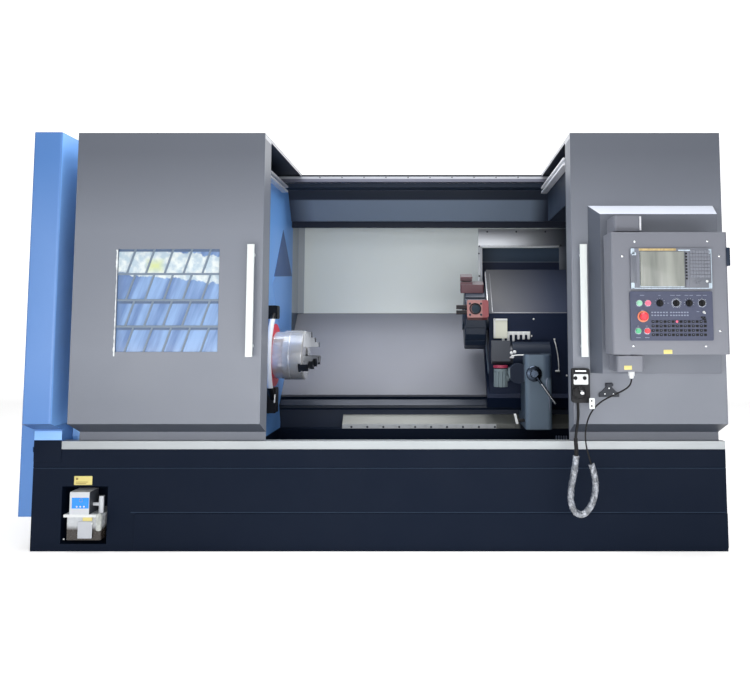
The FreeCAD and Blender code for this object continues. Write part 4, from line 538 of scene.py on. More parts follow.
# %% Paints of the doors, the base and the casings
door_paint = paint("door_grey_paint", DOOR_GREY, gloss=0.4, zones=[
    zone(DEEP_NAVY, y=(-0.684, FAR)),
    zone(DOOR_GREY, y=(-0.684, FAR), facing=(0, 0, 1)),
    # Painted shade: the doors' downward slant darker, the tops of the fronts darker, and the fronts darker
    # towards their lower edge.
    zone((50, 56, 68), z=(0.585, FAR), facing=(0, -0.6, -0.8)),
    zone((56, 62, 74), y=(-0.84, -0.7), z=(2.12, FAR), soft=0.42, facing=(0, -1, 0)),
    zone((102, 107, 118), y=(-0.84, -0.8), z=(0.5, 0.8), soft=0.25, facing=(0, -1, 0)),
    zone(TRIM_PALE, x=(-0.6195, 0.0), y=(-0.83, 0.33), z=(2.205, 2.231), facing=(1, 0, 0)),
    zone(TRIM_PALE, x=(0.0, 1.0235), y=(-0.83, 0.33), z=(2.205, 2.231), facing=(-1, 0, 0)),
    # Painted shade: the skirts painted darker, the right one more.
    zone((96, 101, 112), x=(-FAR, 0.0), y=(-0.75, -0.6), z=(0.5, 0.626), facing=(0, -1, 0)),
    zone((76, 81, 92), x=(0.0, FAR), y=(-0.75, -0.6), z=(0.5, 0.626), facing=(0, -1, 0))])
box_paint = paint("box_grey_paint", (116, 119, 129), gloss=0.42)
carrier_paint = paint("carrier_grey_paint", (102, 107, 118), gloss=0.42, zones=[
    # Painted light: faces turned up and forward at the top are painted pale as a highlight, faces turned left
    # darker as shade.
    zone((206, 212, 226), z=(1.77, FAR), facing=(0, -0.6, 0.8)),
    zone((78, 84, 96), facing=(-0.8, -0.6, 0))])
navy_paint = paint("base_navy_paint", NAVY, gloss=0.6, shine=0.1, edge_wear_and_sheen=2.0, peel=0.12, zones=[
    zone(SEAM_LIGHT, y=(-0.72, -0.68), z=(0.4335, 0.4365), soft=0.0006),
    zone(SEAM_LIGHT, x=(-1.33, FAR), y=(-0.72, -0.68), z=(0.2015, 0.2045), soft=0.0006)])
blue_paint = paint("casing_blue_paint", (82, 128, 192), gloss=0.4, edge_wear_and_sheen=1.25, zones=[
    # Painted light: faces turned down are painted dark as shade, a strip of faces turned right is painted
    # lighter where it stands in shade, and a soft pale patch mid-height is a painted sheen.
    zone((40, 74, 128), facing=(0, -0.6, -0.8)),
    zone((128, 182, 250), x=(-1.73, -1.7), y=(-1.0, 2.0), z=(0.67, 2.3), facing=(1, 0, 0)),
    zone((112, 150, 208), x=(-1.87, -1.0), y=(-1.0, 0.0), z=(0.95, 1.75), soft=0.35)])
side_blue = paint("side_panel_blue_paint", (92, 140, 206), gloss=0.45, edge_wear_and_sheen=1.1, zones=[
    # Painted light: the panel is painted lighter towards its left edge, where the door beside it shades it.
    zone((176, 214, 252), x=(-1.95, -1.59), y=(-1.0, 0.0), z=(-1.0, 3.0), soft=0.05),
    zone((104, 160, 232), x=(-1.95, -1.68), y=(-1.0, 0.0), z=(-1.0, 3.0), soft=0.01)])
wall_paint = paint("inner_wall_blue_paint", INNER_BLUE, gloss=0.45, edge_wear_and_sheen=1.2, zones=[
    zone(POST_GREY, y=(0.63, FAR)),
    zone((72, 86, 104), y=(0.63, FAR), z=(0.0, 1.294))])
curtain_paint = paint("curtain_pale_paint", (232, 240, 238), gloss=0.38, edge_wear_and_sheen=1.1, zones=[
    # Painted shadow: the curtain's right end is painted darker, fading in softly.
    zone((84, 92, 106), x=(1.17, FAR), y=(0.0, FAR), z=(0.0, FAR), soft=0.1)])
slant_paint = paint("slant_cover_paint", (156, 159, 169), gloss=0.5, shine=0.35, edge_wear_and_sheen=1.15, zones=[
    # Painted shade: the cover is painted darker towards its lower front edge.
    zone((95, 98, 107), y=(-FAR, 0.46), z=(0.0, FAR), soft=0.24)])
beam_paint = paint("beam_grey_paint", (112, 126, 144), gloss=0.45, shine=0.35, zones=[
    # Painted shadow: both ends of the beam are painted darker, and its upper part darker as shade.
    zone((38, 48, 66), x=(-FAR, -0.66), y=(0.0, FAR), z=(0.0, FAR), soft=0.09),
    zone((32, 40, 56), x=(1.03, FAR), soft=0.06),
    zone((24, 33, 48), z=(2.088, FAR), soft=0.004)])
dark_paint = paint("dark_wall_paint", (30, 42, 60), gloss=0.5, shine=0.3, zones=[
    zone((76, 96, 120), x=(-1.6, 1.7), y=(1.05, 1.12), z=(1.703, 2.15), facing=(0, -1, 0)),
    zone((52, 64, 96), x=(-1.6, 1.7), y=(1.05, 1.12), z=(1.2, 1.697), facing=(0, -1, 0)),
    zone((128, 142, 160), x=(-1.6, 1.7), y=(1.05, 1.12), z=(1.697, 1.703), facing=(0, -1, 0))])
bed_paint = paint("bed_dark_paint", (22, 34, 54), gloss=0.55, shine=0.3)

# %% Paints of the slide, the turret, the holders and the tailstock
slide_paint = paint("slide_black_paint", (19, 31, 55), gloss=0.5, shine=0.15, edge_wear_and_sheen=1.6, zones=[
    # Painted light on the slanted cover sheets: their left part is painted lighter, fading to the darker
    # sheet grey on the right.
    zone(SHEET_COLD, z=(1.2, FAR), facing=(0, -0.707, 0.707)),
    zone(SHEET_LIT_GREY, x=(0.0, 0.9), y=(0.0, FAR), z=(1.2, FAR), soft=0.22, facing=(0, -0.707, 0.707)),
    zone((226, 228, 214), x=(0.68, 0.778), y=(0.1, 0.21), z=(1.1, 1.246))])
casting_paint = paint("casting_teal_paint", (100, 116, 132), gloss=0.55, shine=0.2, peel=0.5, zones=[
    zone((20, 30, 48), x=(0.0, 0.853), y=(-1.0, 1.0), z=(0.8, 2.0), soft=0.004),
    zone((112, 126, 132), x=(0.66, 0.764), y=(-1.0, 1.0), z=(0.8, 0.955), soft=0.002),
    zone((22, 32, 48), z=(1.0185, FAR)),
    zone((60, 74, 92), x=(0.972, 2.0), y=(-1.0, 1.0), z=(0.87, 1.0185), soft=0.012),
    zone(DEEP_NAVY, x=(0.0, 0.853), y=(-1.0, 1.0), z=(0.0, 0.8), soft=0.004),
    zone(DEEP_NAVY, x=(0.853, 2.0), y=(-1.0, 1.0), z=(0.0, 0.56), soft=0.004)])
turret_paint = paint("turret_grey_paint", (29, 40, 57), gloss=0.4, shine=0.3, zones=[
    zone((120, 128, 142), x=(0.0, 0.4775), y=(0.0, FAR), z=(0.0, FAR), soft=0.0006)])
nose_paint = paint("nose_red_paint", (222, 56, 80), gloss=0.4)
holder_paint = paint("holder_red_paint", (146, 106, 104), gloss=0.5, shine=0.3, zones=[
    zone((128, 70, 74), x=(0.6, 2.0), y=(-1.0, FAR), z=(0.0, FAR), soft=0.004),
    zone(BLACK, x=(0.0, 0.501), y=(-1.0, FAR), z=(0.0, FAR), soft=0.0008),
    zone((168, 52, 64), x=(0.0, 2.0), y=(-1.0, FAR), z=(0.0, FAR), facing=(1, 0, 0))])
brown_paint = paint("holder_brown_paint", (88, 52, 62), gloss=0.45, zones=[
    # Painted light: faces turned up the slant are painted pale as a highlight, faces turned down dark as
    # shade.
    zone((112, 106, 110), facing=(0, -0.2588, 0.9659)),
    zone((40, 34, 42), facing=(0, -0.4, -0.9))])
grille_paint = paint("grille_grey_paint", (112, 128, 146), gloss=0.45)

# %% Metals, plastics and rubber
rail_steel = steel("rail_stainless", (160, 165, 168), gloss=0.4, stretch=(0.02, 1.0, 1.0), metal=0.5)
top_steel = steel("top_rail_steel", (118, 120, 136), gloss=0.36, stretch=(0.02, 1.0, 1.0), metal=0.5, zones=[
    zone((196, 200, 208), y=(0.0, FAR), z=(2.2, 2.216)),
    zone((36, 40, 50), z=(2.216, FAR))])
frame_grain = (0.03, 1.0, 1.0)
frame_steel = steel("frame_stainless", (186, 190, 196), gloss=0.33, stretch=frame_grain, metal=0.5, zones=[
    # Painted shadow: the frame's right end is painted darker, fading in softly, like the curtain's.
    zone((80, 86, 98), x=(1.12, FAR), y=(0.0, FAR), z=(0.0, FAR), soft=0.16)])
handle_steel = steel("handle_satin", (226, 232, 232), gloss=0.45, stretch=(1.0, 1.0, 0.02), metal=0.1)
turned_steel = steel("turned_steel", (236, 237, 238), gloss=0.18, stretch=(1.0, 0.01, 0.01), scale=900.0,
                     clouds=0.06, cut=0.03, metal=0.65)
jaw_steel = steel("ground_jaw_steel", (124, 127, 132), gloss=0.32, stretch=(1.0, 0.05, 0.05), clouds=0.08)
way_steel = steel("way_steel", (104, 107, 104), gloss=0.42, stretch=(0.03, 1.0, 1.0), metal=0.2, zones=[
    zone((20, 32, 50), z=(0.62, 0.98)),
    zone((176, 180, 184), x=(-FAR, 0.7), y=(0.23, 0.25), z=(0.5, 0.56), facing=(0, -1, 0))])
bright_steel = steel("bright_steel", (214, 217, 220), gloss=0.25)
lever_steel = steel("lever_steel", (176, 180, 184), gloss=0.25, zones=[
    zone((54, 62, 74), x=(0.85, 0.955), y=(-0.2, 0.0), z=(0.84, 0.96))])
dark_steel = steel("oxide_steel", (58, 61, 68), gloss=0.45, stretch=(1.0, 0.04, 0.04), metal=0.3)
guard_black = plastic("guard_black", BLACK, shine=0.22, grain=0.15, zones=[
    zone((230, 234, 242), z=(0.818, 1.24))])
black_plastic = plastic("black_plastic", BLACK, shine=0.22, grain=0.15)
unit_plastic = plastic("display_unit_grey", (112, 116, 127), gloss=0.4)
panel_plastic = plastic("panel_slate", (62, 68, 92), gloss=0.5)
white_plastic = plastic("white_plastic", (224, 227, 228))
pump_plastic = plastic("pump_pale_plastic", (205, 209, 214), zones=[
    zone((64, 68, 76), x=(-1.535, -1.0), y=(-1.0, 0.0), z=(0.0, 1.0), facing=(1, 0, 0))])
tank_plastic = plastic("oil_tank_plastic", (196, 200, 204), gloss=0.25, zones=[
    zone((54, 48, 44), x=(-2.0, 0.0), y=(-1.0, 0.0), z=(0.0, 0.132), soft=0.012)])
green_plastic = plastic("green_plastic", (70, 170, 120), gloss=0.3, glow=0.1)
pale_green = plastic("lit_green_plastic", (132, 190, 160), gloss=0.3, glow=0.2)
pink_plastic = plastic("lit_pink_plastic", (232, 96, 124), gloss=0.3, glow=0.25)
red_plastic = plastic("red_plastic", (224, 50, 66), gloss=0.3, glow=0.1)
yellow_plastic = plastic("yellow_plate", (222, 208, 128), gloss=0.4)
black_rubber = plastic("black_rubber", (18, 18, 20), gloss=0.6, scale=500.0, shine=0.25)
print(len(bpy.data.materials), "materials")

# %% Which node wears which finish
FINISH = {
    door_paint: ["left_door_shell", "right_door_shell"],
    box_paint: ["control_box", "swivel_arms"],
    carrier_paint: ["control_carrier"],
    navy_paint: ["base"],
    rail_steel: ["front_rail"],
    top_steel: ["top_rail"],
    bed_paint: ["bed"],
    way_steel: ["guide_ways"],
    lever_steel: ["clamp_lever"],
    grille_paint: ["window_grille"],
    slant_paint: ["slant_cover"],
    nose_paint: ["headstock"],
    wall_paint: ["headstock_wall"],
    side_blue: ["left_front_panel"],
    blue_paint: ["left_end_casing", "motor_cover"],
    dark_paint: ["right_enclosure", "rear_enclosure"],
    beam_paint: ["header_beam"],
    guard_black: ["chuck_guard"],
    black_plastic: ["hand_pendant", "pendant_wheel", "axis_dial", "step_dial", "pendant_hook",
                    "mode_knob", "feed_knob", "spindle_knob", "key_switch"],
    turned_steel: ["spindle", "chuck_body"],
    jaw_steel: ["chuck_jaw_1", "chuck_jaw_2", "chuck_jaw_3"],
    dark_steel: ["quill"],
    handle_steel: ["left_door_handle", "right_door_handle"],
    unit_plastic: ["display_unit"],
    panel_plastic: ["operator_panel"],
    curtain_paint: ["sliding_curtain"],
    slide_paint: ["cross_slide", "saddle"],
    turret_paint: ["turret_disc"],
    holder_paint: ["boring_holder"],
    brown_paint: ["turning_holder"],
    casting_paint: ["tailstock_body"],
    green_plastic: ["cycle_start_button"],
    pale_green: ["power_on_button"],
    pink_plastic: ["power_off_button"],
    red_plastic: ["feed_hold_button", "stop_button"],
    white_plastic: ["cord_gland"],
    tank_plastic: ["lube_tank"],
    pump_plastic: ["lube_pump"],
}


def dress(node, material):
    """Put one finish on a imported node."""
    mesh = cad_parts[node].data
    mesh.materials.clear()
    mesh.materials.append(material)


for material, nodes in FINISH.items():
    for node in nodes:
        dress(node, material)
print(sum(map(len, FINISH.values())), "nodes dressed of", len(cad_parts))

# %% Dress the cord
def link_cord(piece, node, route, length, diameter, **more):
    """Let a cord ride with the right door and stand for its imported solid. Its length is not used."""
    if not piece.users_collection:
        bpy.context.scene.collection.objects.link(piece)
    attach(piece, "right_door")
    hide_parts(node)


upper_cord.data.materials.append(black_rubber)
lower_cord.data.materials.append(black_rubber)
tag = put("cord_tag", onto(plate(0.028, 0.055, 0.0015, 0.004, 0.0005), (1.103, -0.913, 0.7985)),
          white_plastic, "right_door")
tag_eyelet = stack([0.0045, 0.0045, 0.0035], [0.0, 0.0003, 0.0005], steps=16)
eyelets = put("cord_tag_eyelets", [onto(tag_eyelet, (1.101, -0.9145, z)) for z in (0.812, 0.786)],
              black_rubber, "right_door")
lead_points = read_line(LEAD_ROUTE)
SLEEVE_TOP = 0.62
sleeve_points = lead_points[lead_points[:, 2] < SLEEVE_TOP]
lead_sleeve = put("pendant_lead_sleeve", tube(sleeve_points, 0.0105, steps=16), black_rubber, "right_door")
link_cord(upper_cord, "cord_upper", CORD_ROUTE, 0.555, 0.008, stiffness="limp",
          with_pieces=[tag, eyelets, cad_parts["cord_gland"]])
link_cord(lower_cord, "cord_lower", LEAD_ROUTE, 0.271, 0.014, stiffness="medium", with_pieces=[lead_sleeve])
print("tag and sleeve on the cord,", len(sleeve_points), "points along the sleeve")

# %% The wrapping on the loop: a tube whose radius is crumpled
WRAP_RADIUS, WRAP_STEPS = 0.018, 28
along = np.linspace(0.0, 1.0, len(loop_points))[:, None]
around = (np.arange(WRAP_STEPS) / WRAP_STEPS * 2.0 * math.pi)[None, :]
rng = np.random.default_rng(7)
crumple = np.zeros((len(loop_points), WRAP_STEPS))
for waves, turns, weight in ((19, 2, 0.35), (31, -3, 0.3), (47, 5, 0.25), (73, -7, 0.2), (11, 1, 0.3)):
    crumple += weight * np.abs(np.sin(math.pi * waves * along + turns * around + rng.uniform(0.0, 6.0)))
crumple = 0.90 + 0.10 * (crumple - crumple.min()) / np.ptp(crumple)
wrap = tube(loop_points, WRAP_RADIUS, steps=WRAP_STEPS, swell=crumple)
print("wrapping", len(wrap[0]), "points")


def film_material(name):
    """Crumpled clear film over black: facets of a fine cell pattern, most dark, with painted highlights on
    some folds.
    """
    material, tree, shader = new_material(name)
    pattern = add_node(tree, "TexVoronoi", Vector=coordinates(tree), Scale=95.0, Randomness=1.0)
    cells = pattern.outputs["Distance"]
    folds = spread(tree, noise(tree, 60.0, 6.0, (1.0, 1.0, 0.6)), 0.0, 1.0, 0.42, 0.66)
    # Painted highlights: pale patches in the colour where the folds' noise is high; the rest stays dark.
    lit = mix_colours(tree, folds, (62, 68, 78), (170, 176, 188))
    speckles = spread(tree, cells, 0.0, 0.55, 0.2, 0.7)
    fill(tree, shader, Base_Color=mix_colours(tree, speckles, lit, (92, 98, 108)), Roughness=0.16,
         Specular_IOR_Level=0.9, Coat_Weight=0.8)
    relief(tree, shader, cells, 0.9, 0.004)
    return material


wrap_film = film_material("crumpled_film")
wrapped_loop = put("pendant_cord_wrap", wrap, wrap_film, "right_door", angle=25.0)
link_cord(wrapped_loop, "cord_sleeve", SLEEVE_ROUTE, 0.606, 0.036, stiffness="medium", path=loop_points)

# %% [markdown]
# ## Small parts made once
# Screws, washers, keys and labels come in dozens. Each kind is one shell at the origin, copied to a list
# of places on the face that carries it. An array modifier could space them evenly, but the real ones
# are not even, and a list of places says it more plainly.

# %% Screws, rings and marks
def screw(radius):
    """A button head: a straight rim, then a dome whose reach falls as its height rises."""
    bend = np.linspace(0.0, math.pi / 2, 5)
    reach, height = [1.0, *np.cos(bend)], [0.0, *(0.25 + 0.35 * np.sin(bend))]
    return stack(radius * np.array(reach), radius * np.array(height), steps=16)


def hoop(inner, outer, thick, steps=36):
    """A flat ring: four circles, inner and outer, back and front, each joined to the next."""
    turn = np.arange(steps) / steps * 2.0 * math.pi
    reach = np.array([inner, outer, outer, inner])[:, None]
    height = np.array([0.0, 0.0, thick, thick])[:, None]
    points = np.stack(np.broadcast_arrays(reach * np.cos(turn), reach * np.sin(turn), height), axis=-1)
    here = np.arange(4 * steps).reshape(4, steps)
    beside = np.roll(here, -1, axis=1)
    quads = np.stack([here, beside, np.roll(beside, -1, axis=0), np.roll(here, -1, axis=0)], axis=-1)
    return points.reshape(-1, 3), quads.reshape(-1, 4).tolist()


def turned(shell, degrees):
    """A shell turned about its own axis."""
    c, s = math.cos(math.radians(degrees)), math.sin(math.radians(degrees))
    return shell[0] @ np.array([[c, s, 0.0], [-s, c, 0.0], [0.0, 0.0, 1.0]]), shell[1]


def shifted(shell, across=0.0, up=0.0, out=0.0):
    """A shell moved along its own axes."""
    return shell[0] + np.array([across, up, out]), shell[1]


def scale_marks(count, first, sweep, radius, length, width):
    """Marks round a dial: one bar moved out by radius, then turned to evenly spaced angles."""
    bar = shifted(plate(length, width, 0.0006, width / 2.2, 0.0001, 8), across=radius)
    return join([turned(bar, first + sweep * mark / (count - 1)) for mark in range(count)])


def front(x, z, y):
    """A place on a face that looks at the operator."""
    return (x, y, z)


def tile(size, x, z, face, **axes):
    """A plate on a face that looks at the operator. size is width, height, thickness and plate's edges."""
    return onto(plate(*size), front(x, z, face), **axes)


def screws(radius, places, face):
    """A screw at each place (x, z) of a face that looks at the operator."""
    return [onto(screw(radius), front(x, z, face)) for x, z in places]


def keys(size, places, face):
    """The same plate at every place (x, z, 0) of a face that looks at the operator."""
    return onto(many(plate(*size), places), front(0.0, 0.0, face))


def lattice(first, last, columns, rows):
    """Places on an even grid from the first corner (x, z) to the last."""
    x, z = np.meshgrid(np.linspace(first[0], last[0], columns), np.linspace(first[1], last[1], rows))
    return np.column_stack([x.ravel(), z.ravel(), np.zeros(x.size)])


print("screw", len(screw(0.006)[0]), "points, ring", len(hoop(0.01, 0.02, 0.001)[0]))

# %% [markdown]
# ## The control box
# The display unit still wears its protective film, which lifts at the corners; the pale colour of those
# corners and edges is a painted highlight. The screen is off, and its soft upright reflections are painted
# into its colour. Below it sits the slate operator's plate.
# All of this could be drawn as one picture, but raised keys and rings catch light from every side.

# %% Screen, film and tape on the display unit
def screen_material(name):
    """A switched-off screen: pale grey-green glass with soft upright reflections painted into its colour."""
    material, tree, shader = new_material(name)
    # Painted reflections: soft upright streaks in the colour.
    streaks = spread(tree, noise(tree, 17.0, 3.0, (1.0, 1.0, 0.10)), 0.0, 1.0, 0.35, 0.65)
    fill(tree, shader, Base_Color=mix_colours(tree, streaks, (122, 126, 122), (160, 163, 157)),
         Roughness=spread(tree, noise(tree, 40.0), 0.10, 0.2))
    relief(tree, shader, noise(tree, 12.0, 2.0, (1.0, 1.0, 0.2)), 0.05, 0.0005)
    return material


def film(name, colour, gloss=0.12):
    """Clear film or tape seen against the light: a pale colour, streaked, with a wet gloss."""
    material, tree, shader = new_material(name)
    streaks = spread(tree, noise(tree, 60.0, 5.0, (1.0, 1.0, 0.35)), 0.0, 1.0, 0.35, 0.65)
    fill(tree, shader, Base_Color=mix_colours(tree, streaks, shade(colour, 0.72), shade(colour, 1.12)),
         Roughness=spread(tree, noise(tree, 90.0), gloss, gloss + 0.2))
    relief(tree, shader, noise(tree, 70.0, 4.0), 0.4, 0.0008)
    return material


box_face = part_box("control_box")[0][1]
unit_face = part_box("display_unit")[0][1]
panel_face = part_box("operator_panel")[0][1]
screen_glass = screen_material("screen_glass")
clear_film = film("clear_film", (196, 212, 226))
tan_tape = film("tan_tape", (196, 172, 120), gloss=0.3)
bezel_grey = plastic("bezel_grey", (104, 108, 118), gloss=0.35)
key_grey = plastic("key_grey", (122, 126, 137), gloss=0.35)

put("screen", tile((0.220, 0.172, 0.0015, 0.006), 1.4096, 1.4735, unit_face),
    screen_glass, "control_head")
put("display_bezel", tile((0.028, 0.140, 0.0010, 0.002), 1.2705, 1.474, unit_face),
    bezel_grey, "control_head")
put("keypad_frame", tile((0.106, 0.186, 0.0012, 0.004), 1.5955, 1.476, unit_face),
    bezel_grey, "control_head")
film_back = unit_face - 0.0003
# The film's lifted corners and edges: real film, whose pale colour is a painted highlight.
film_corners = [tile((w, h, 0.0012, 0.003, 0.0008, 12), x, z, film_back) for x, z, w, h in (
    (1.2668, 1.5610, 0.018, 0.028), (1.2730, 1.5480, 0.022, 0.014), (1.2650, 1.3910, 0.016, 0.030),
    (1.6440, 1.5600, 0.010, 0.022), (1.6435, 1.3910, 0.014, 0.026))]
film_edges = [tile((w, h, 0.0012, min(w, h) / 2.2, 0.0005, 12), x, z, film_back) for x, z, w, h in (
    (1.4560, 1.3785, 0.392, 0.0040), (1.6515, 1.4760, 0.0030, 0.190), (1.3020, 1.4700, 0.0040, 0.170),
    (1.4100, 1.3860, 0.215, 0.0030), (1.5200, 1.5650, 0.060, 0.0060))]
put("display_film", film_corners + film_edges, clear_film, "control_head")
put("display_tape", tile((0.182, 0.011, 0.0010, 0.001, 0.0004, 8), 1.3890, 1.5690, unit_face),
    tan_tape, "control_head")
print("display unit face at", round(unit_face, 4))

# %% Keys beside the screen
keypad_face = unit_face - 0.0012
side_column = lattice((1.5290, 1.5490), (1.5290, 1.4265), 1, 9)
put("soft_keys", keys((0.0085, 0.0085, 0.0030, 0.0015, 0.0006, 12), side_column, unit_face),
    black_plastic, "control_head")
letter_places = lattice((1.5545, 1.5585), (1.6385, 1.4385), 7, 8)
put("letter_keys", keys((0.0120, 0.0135, 0.0030, 0.002, 0.0009, 16), letter_places, keypad_face),
    key_grey, "control_head")
cursor_places = [(1.5685, 1.4125, 0), (1.5965, 1.4125, 0), (1.5825, 1.4225, 0), (1.5825, 1.4035, 0)]
put("cursor_keys", keys((0.0120, 0.0120, 0.0030, 0.002, 0.0009, 16), cursor_places, keypad_face),
    bezel_grey, "control_head")
put("card_slot_knob", screws(0.0065, [(1.6280, 1.4130)], keypad_face),
    white_plastic, "control_head")
print(len(side_column), "soft keys,", len(letter_places), "letter keys")

# %% The operator's plate: dial rings, marks and label bars
ring_metal = steel("ring_metal", (170, 176, 190), gloss=0.25, metal=0.7)
mark_paint = plastic("mark_paint", (204, 210, 222), gloss=0.4, grain=0.1)
faint_mark = plastic("faint_mark_paint", (128, 136, 158), gloss=0.4, grain=0.1)
MODE_X, FEED_X, SPINDLE_X, KEY_X, DIAL_Z = 1.394, 1.474, 1.537, 1.600, 1.306
BUTTONS = [(1.293, DIAL_Z), (1.335, DIAL_Z), (1.285, 1.171), (1.329, 1.171)]
marks = []
for x, count, sweep in ((MODE_X, 7, 180), (FEED_X, 16, 290), (SPINDLE_X, 8, 220), (KEY_X, 3, 90)):
    dial = scale_marks(count, 90 - sweep / 2, sweep, 0.0238, 0.0045, 0.0011)
    marks.append(onto(dial, front(x, DIAL_Z, panel_face)))
put("dial_marks", marks, mark_paint, "control_head")
feed_ring = onto(hoop(0.0180, 0.0208, 0.0010), front(FEED_X, DIAL_Z, panel_face))
key_ring = onto(hoop(0.0172, 0.0200, 0.0012), front(KEY_X, DIAL_Z, panel_face))
button_rings = [onto(hoop(0.0133, 0.0165, 0.0022), front(x, z, panel_face)) for x, z in BUTTONS]
put("dial_rings", [feed_ring, key_ring] + button_rings, ring_metal, "control_head")
label_places = [
    (1.3080, 1.3440, 0.022), (1.3930, 1.3440, 0.012), (1.4570, 1.3440, 0.024), (1.4850, 1.3440, 0.022),
    (1.5250, 1.3440, 0.020), (1.5480, 1.3440, 0.018), (1.5850, 1.3440, 0.024), (1.6140, 1.3440, 0.020),
    (1.2860, 1.1945, 0.010), (1.3276, 1.1945, 0.010), (1.2860, 1.1385, 0.022), (1.3290, 1.1385, 0.022),
    (1.3085, 1.2710, 0.012), (1.5790, 1.2650, 0.014), (1.4340, 1.3060, 0.008)]
label_bars = [tile((width, 0.0030, 0.0004, 0.0012, 0.0001, 8), x, z, panel_face)
              for x, z, width in label_places]
put("label_bars", label_bars, faint_mark, "control_head")
print(len(marks), "dials,", len(label_bars), "label bars")

# %% The key matrix, its lamps and the toggle
lamp_places = np.concatenate([lattice((1.3560, 1.2610), (1.4270, 1.2470), 6, 2),
                              lattice((1.4470, 1.2610), (1.5280, 1.2470), 7, 2)])
put("lamp_windows", keys((0.0095, 0.0065, 0.0006, 0.001, 0.0002, 8), lamp_places, panel_face),
    faint_mark, "control_head")
matrix = lattice((1.3580, 1.2160), (1.6120, 1.1520), 14, 4)
key_top = panel_face - 0.0030
put("key_matrix", keys((0.0135, 0.0120, 0.0030, 0.002, 0.0009, 16), matrix, panel_face),
    black_plastic, "control_head")
legend_places = matrix[::2] + np.array([0.0, 0.0012, 0.0])
put("key_legends", keys((0.0060, 0.0022, 0.0004, 0.0008, 0.0001, 8), legend_places, key_top),
    faint_mark, "control_head")
put("fault_lamp", screws(0.0062, [(1.4745, 1.2165)], key_top), pink_plastic, "control_head")
put("stop_button_plate", onto(hoop(0.0195, 0.0275, 0.0016), front(1.311, 1.241, panel_face)),
    plastic("stop_plate_orange", (238, 142, 104), gloss=0.35), "control_head")
toggle_nut = stack([0.006, 0.006, 0.0045, 0.0045], [0.0, 0.003, 0.003, 0.005], steps=16)
toggle_lever = stack([0.0016, 0.0022, 0.0034, 0.0030, 0.0012], [0.0, 0.009, 0.014, 0.017, 0.018], steps=12)
put("toggle", [onto(toggle_nut, front(1.607, 1.262, panel_face)),
               onto(toggle_lever, front(1.607, 1.262, panel_face - 0.004), up=(0.0, -0.35, 1.0))],
    white_plastic, "control_head")
override_places = [(1.596, 1.237, 0), (1.609, 1.237, 0), (1.6025, 1.2285, 0), (1.612, 1.2275, 0)]
put("override_keys", keys((0.0100, 0.0075, 0.0035, 0.002, 0.0008, 12), override_places, panel_face),
    black_plastic, "control_head")
print(len(matrix), "keys in the matrix")

# %% Screws, blank plates and the side tab on the box
box_screws = [(1.280, 1.610), (1.639, 1.612), (1.218, 1.537), (1.695, 1.538), (1.690, 1.171),
              (1.264, 1.098), (1.618, 1.097)]
put("box_screws", screws(0.0062, box_screws, box_face), bright_steel, "control_head")
arm_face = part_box("swivel_arms")[0][1]
put("blank_plates", [tile((0.042, 0.020, 0.0010, 0.002, 0.0003, 12), 1.432, 1.0695, box_face),
                     tile((0.038, 0.020, 0.0010, 0.002, 0.0003, 12), 1.254, 0.9890, arm_face)],
    yellow_plastic, "control_head")
put("box_side_tab", tile((0.018, 0.091, 0.006, 0.003), 1.739, 1.5345, box_face),
    dark_paint, "control_head")
print("box face at", round(box_face, 4))

# %% [markdown]
# ## The left door's window
# The pane mirrors the hall: a bright band near the top with a slanted lower edge, and blue below it with
# soft streaks that lean like the grille's bars. A real mirror would need the hall itself, so the band and
# the streaks are part of the pane's own colour, under a clear gloss. A strip of torn film lines its edge.

# %% Pane, with its band and leaning streaks
def pane_material(name, lean=-21.0):
    """Glass over a blue sheet with a painted reflection: noise turned to the bars' lean, and a white band
    above a slanted line; painted shadows lie under the bars.
    """
    material, tree, shader = new_material(name)
    place = coordinates(tree)
    turn = (0.0, math.radians(lean), 0.0)
    leaning = add_node(tree, "Mapping", Vector=place, Rotation=turn).outputs["Vector"]
    drawn = add_node(tree, "Mapping", Vector=leaning, Scale=(1.0, 1.0, 0.12)).outputs["Vector"]
    streak = add_node(tree, "TexNoise", Vector=drawn, Scale=26.0, Detail=3.0).outputs["Fac"]
    blue = mix_colours(tree, spread(tree, streak, 0.0, 1.0, 0.35, 0.65), (84, 116, 166), (126, 160, 206))
    cloud = spread(tree, noise(tree, 30.0, 4.0), 0.0, 1.0, 0.4, 0.62)
    white = mix_colours(tree, cloud, (170, 190, 204), (214, 222, 222))
    white = zoned(tree, white, [zone((196, 208, 150), (-1.23, -1.16), (-1.0, 0.0), (1.49, 1.54), 0.02)])
    slant = reckon(tree, "DOT_PRODUCT", place, (0.10, 0.0, 1.0), kind="VectorMath")["Value"]
    ragged = reckon(tree, "ADD", slant, spread(tree, noise(tree, 26.0, 4.0), -0.012, 0.012))[0]
    band = mix_colours(tree, spread(tree, ragged, 0.0, 1.0, 1.335, 1.342), blue, white)
    whole = mix_colours(tree, spread(tree, ragged, 0.0, 1.0, 1.478, 1.486), band, blue)
    # Painted shadows: a dark line under each horizontal bar, and a darker strip down the left edge.
    bar_shadows = [zone((72, 94, 126), (-2.0, 0.0), (-1.0, 0.0), (top - 0.014, top), 0.002)
             for top in (1.604, 1.327, 1.188)]
    shadow = zone((84, 110, 150), (-2.0, -1.375), (-1.0, 0.0), (0.0, 1.47), 0.02)
    fill(tree, shader, Base_Color=zoned(tree, whole, [*bar_shadows, shadow]),
         Roughness=spread(tree, noise(tree, 8.0), 0.08, 0.2))
    relief(tree, shader, noise(tree, 9.0, 2.0), 0.05, 0.0006)
    return material


dress("window_pane", pane_material("window_glass"))
window_low, window_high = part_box("window_pane")
print("window", [round(side, 3) for side in window_low], [round(side, 3) for side in window_high])

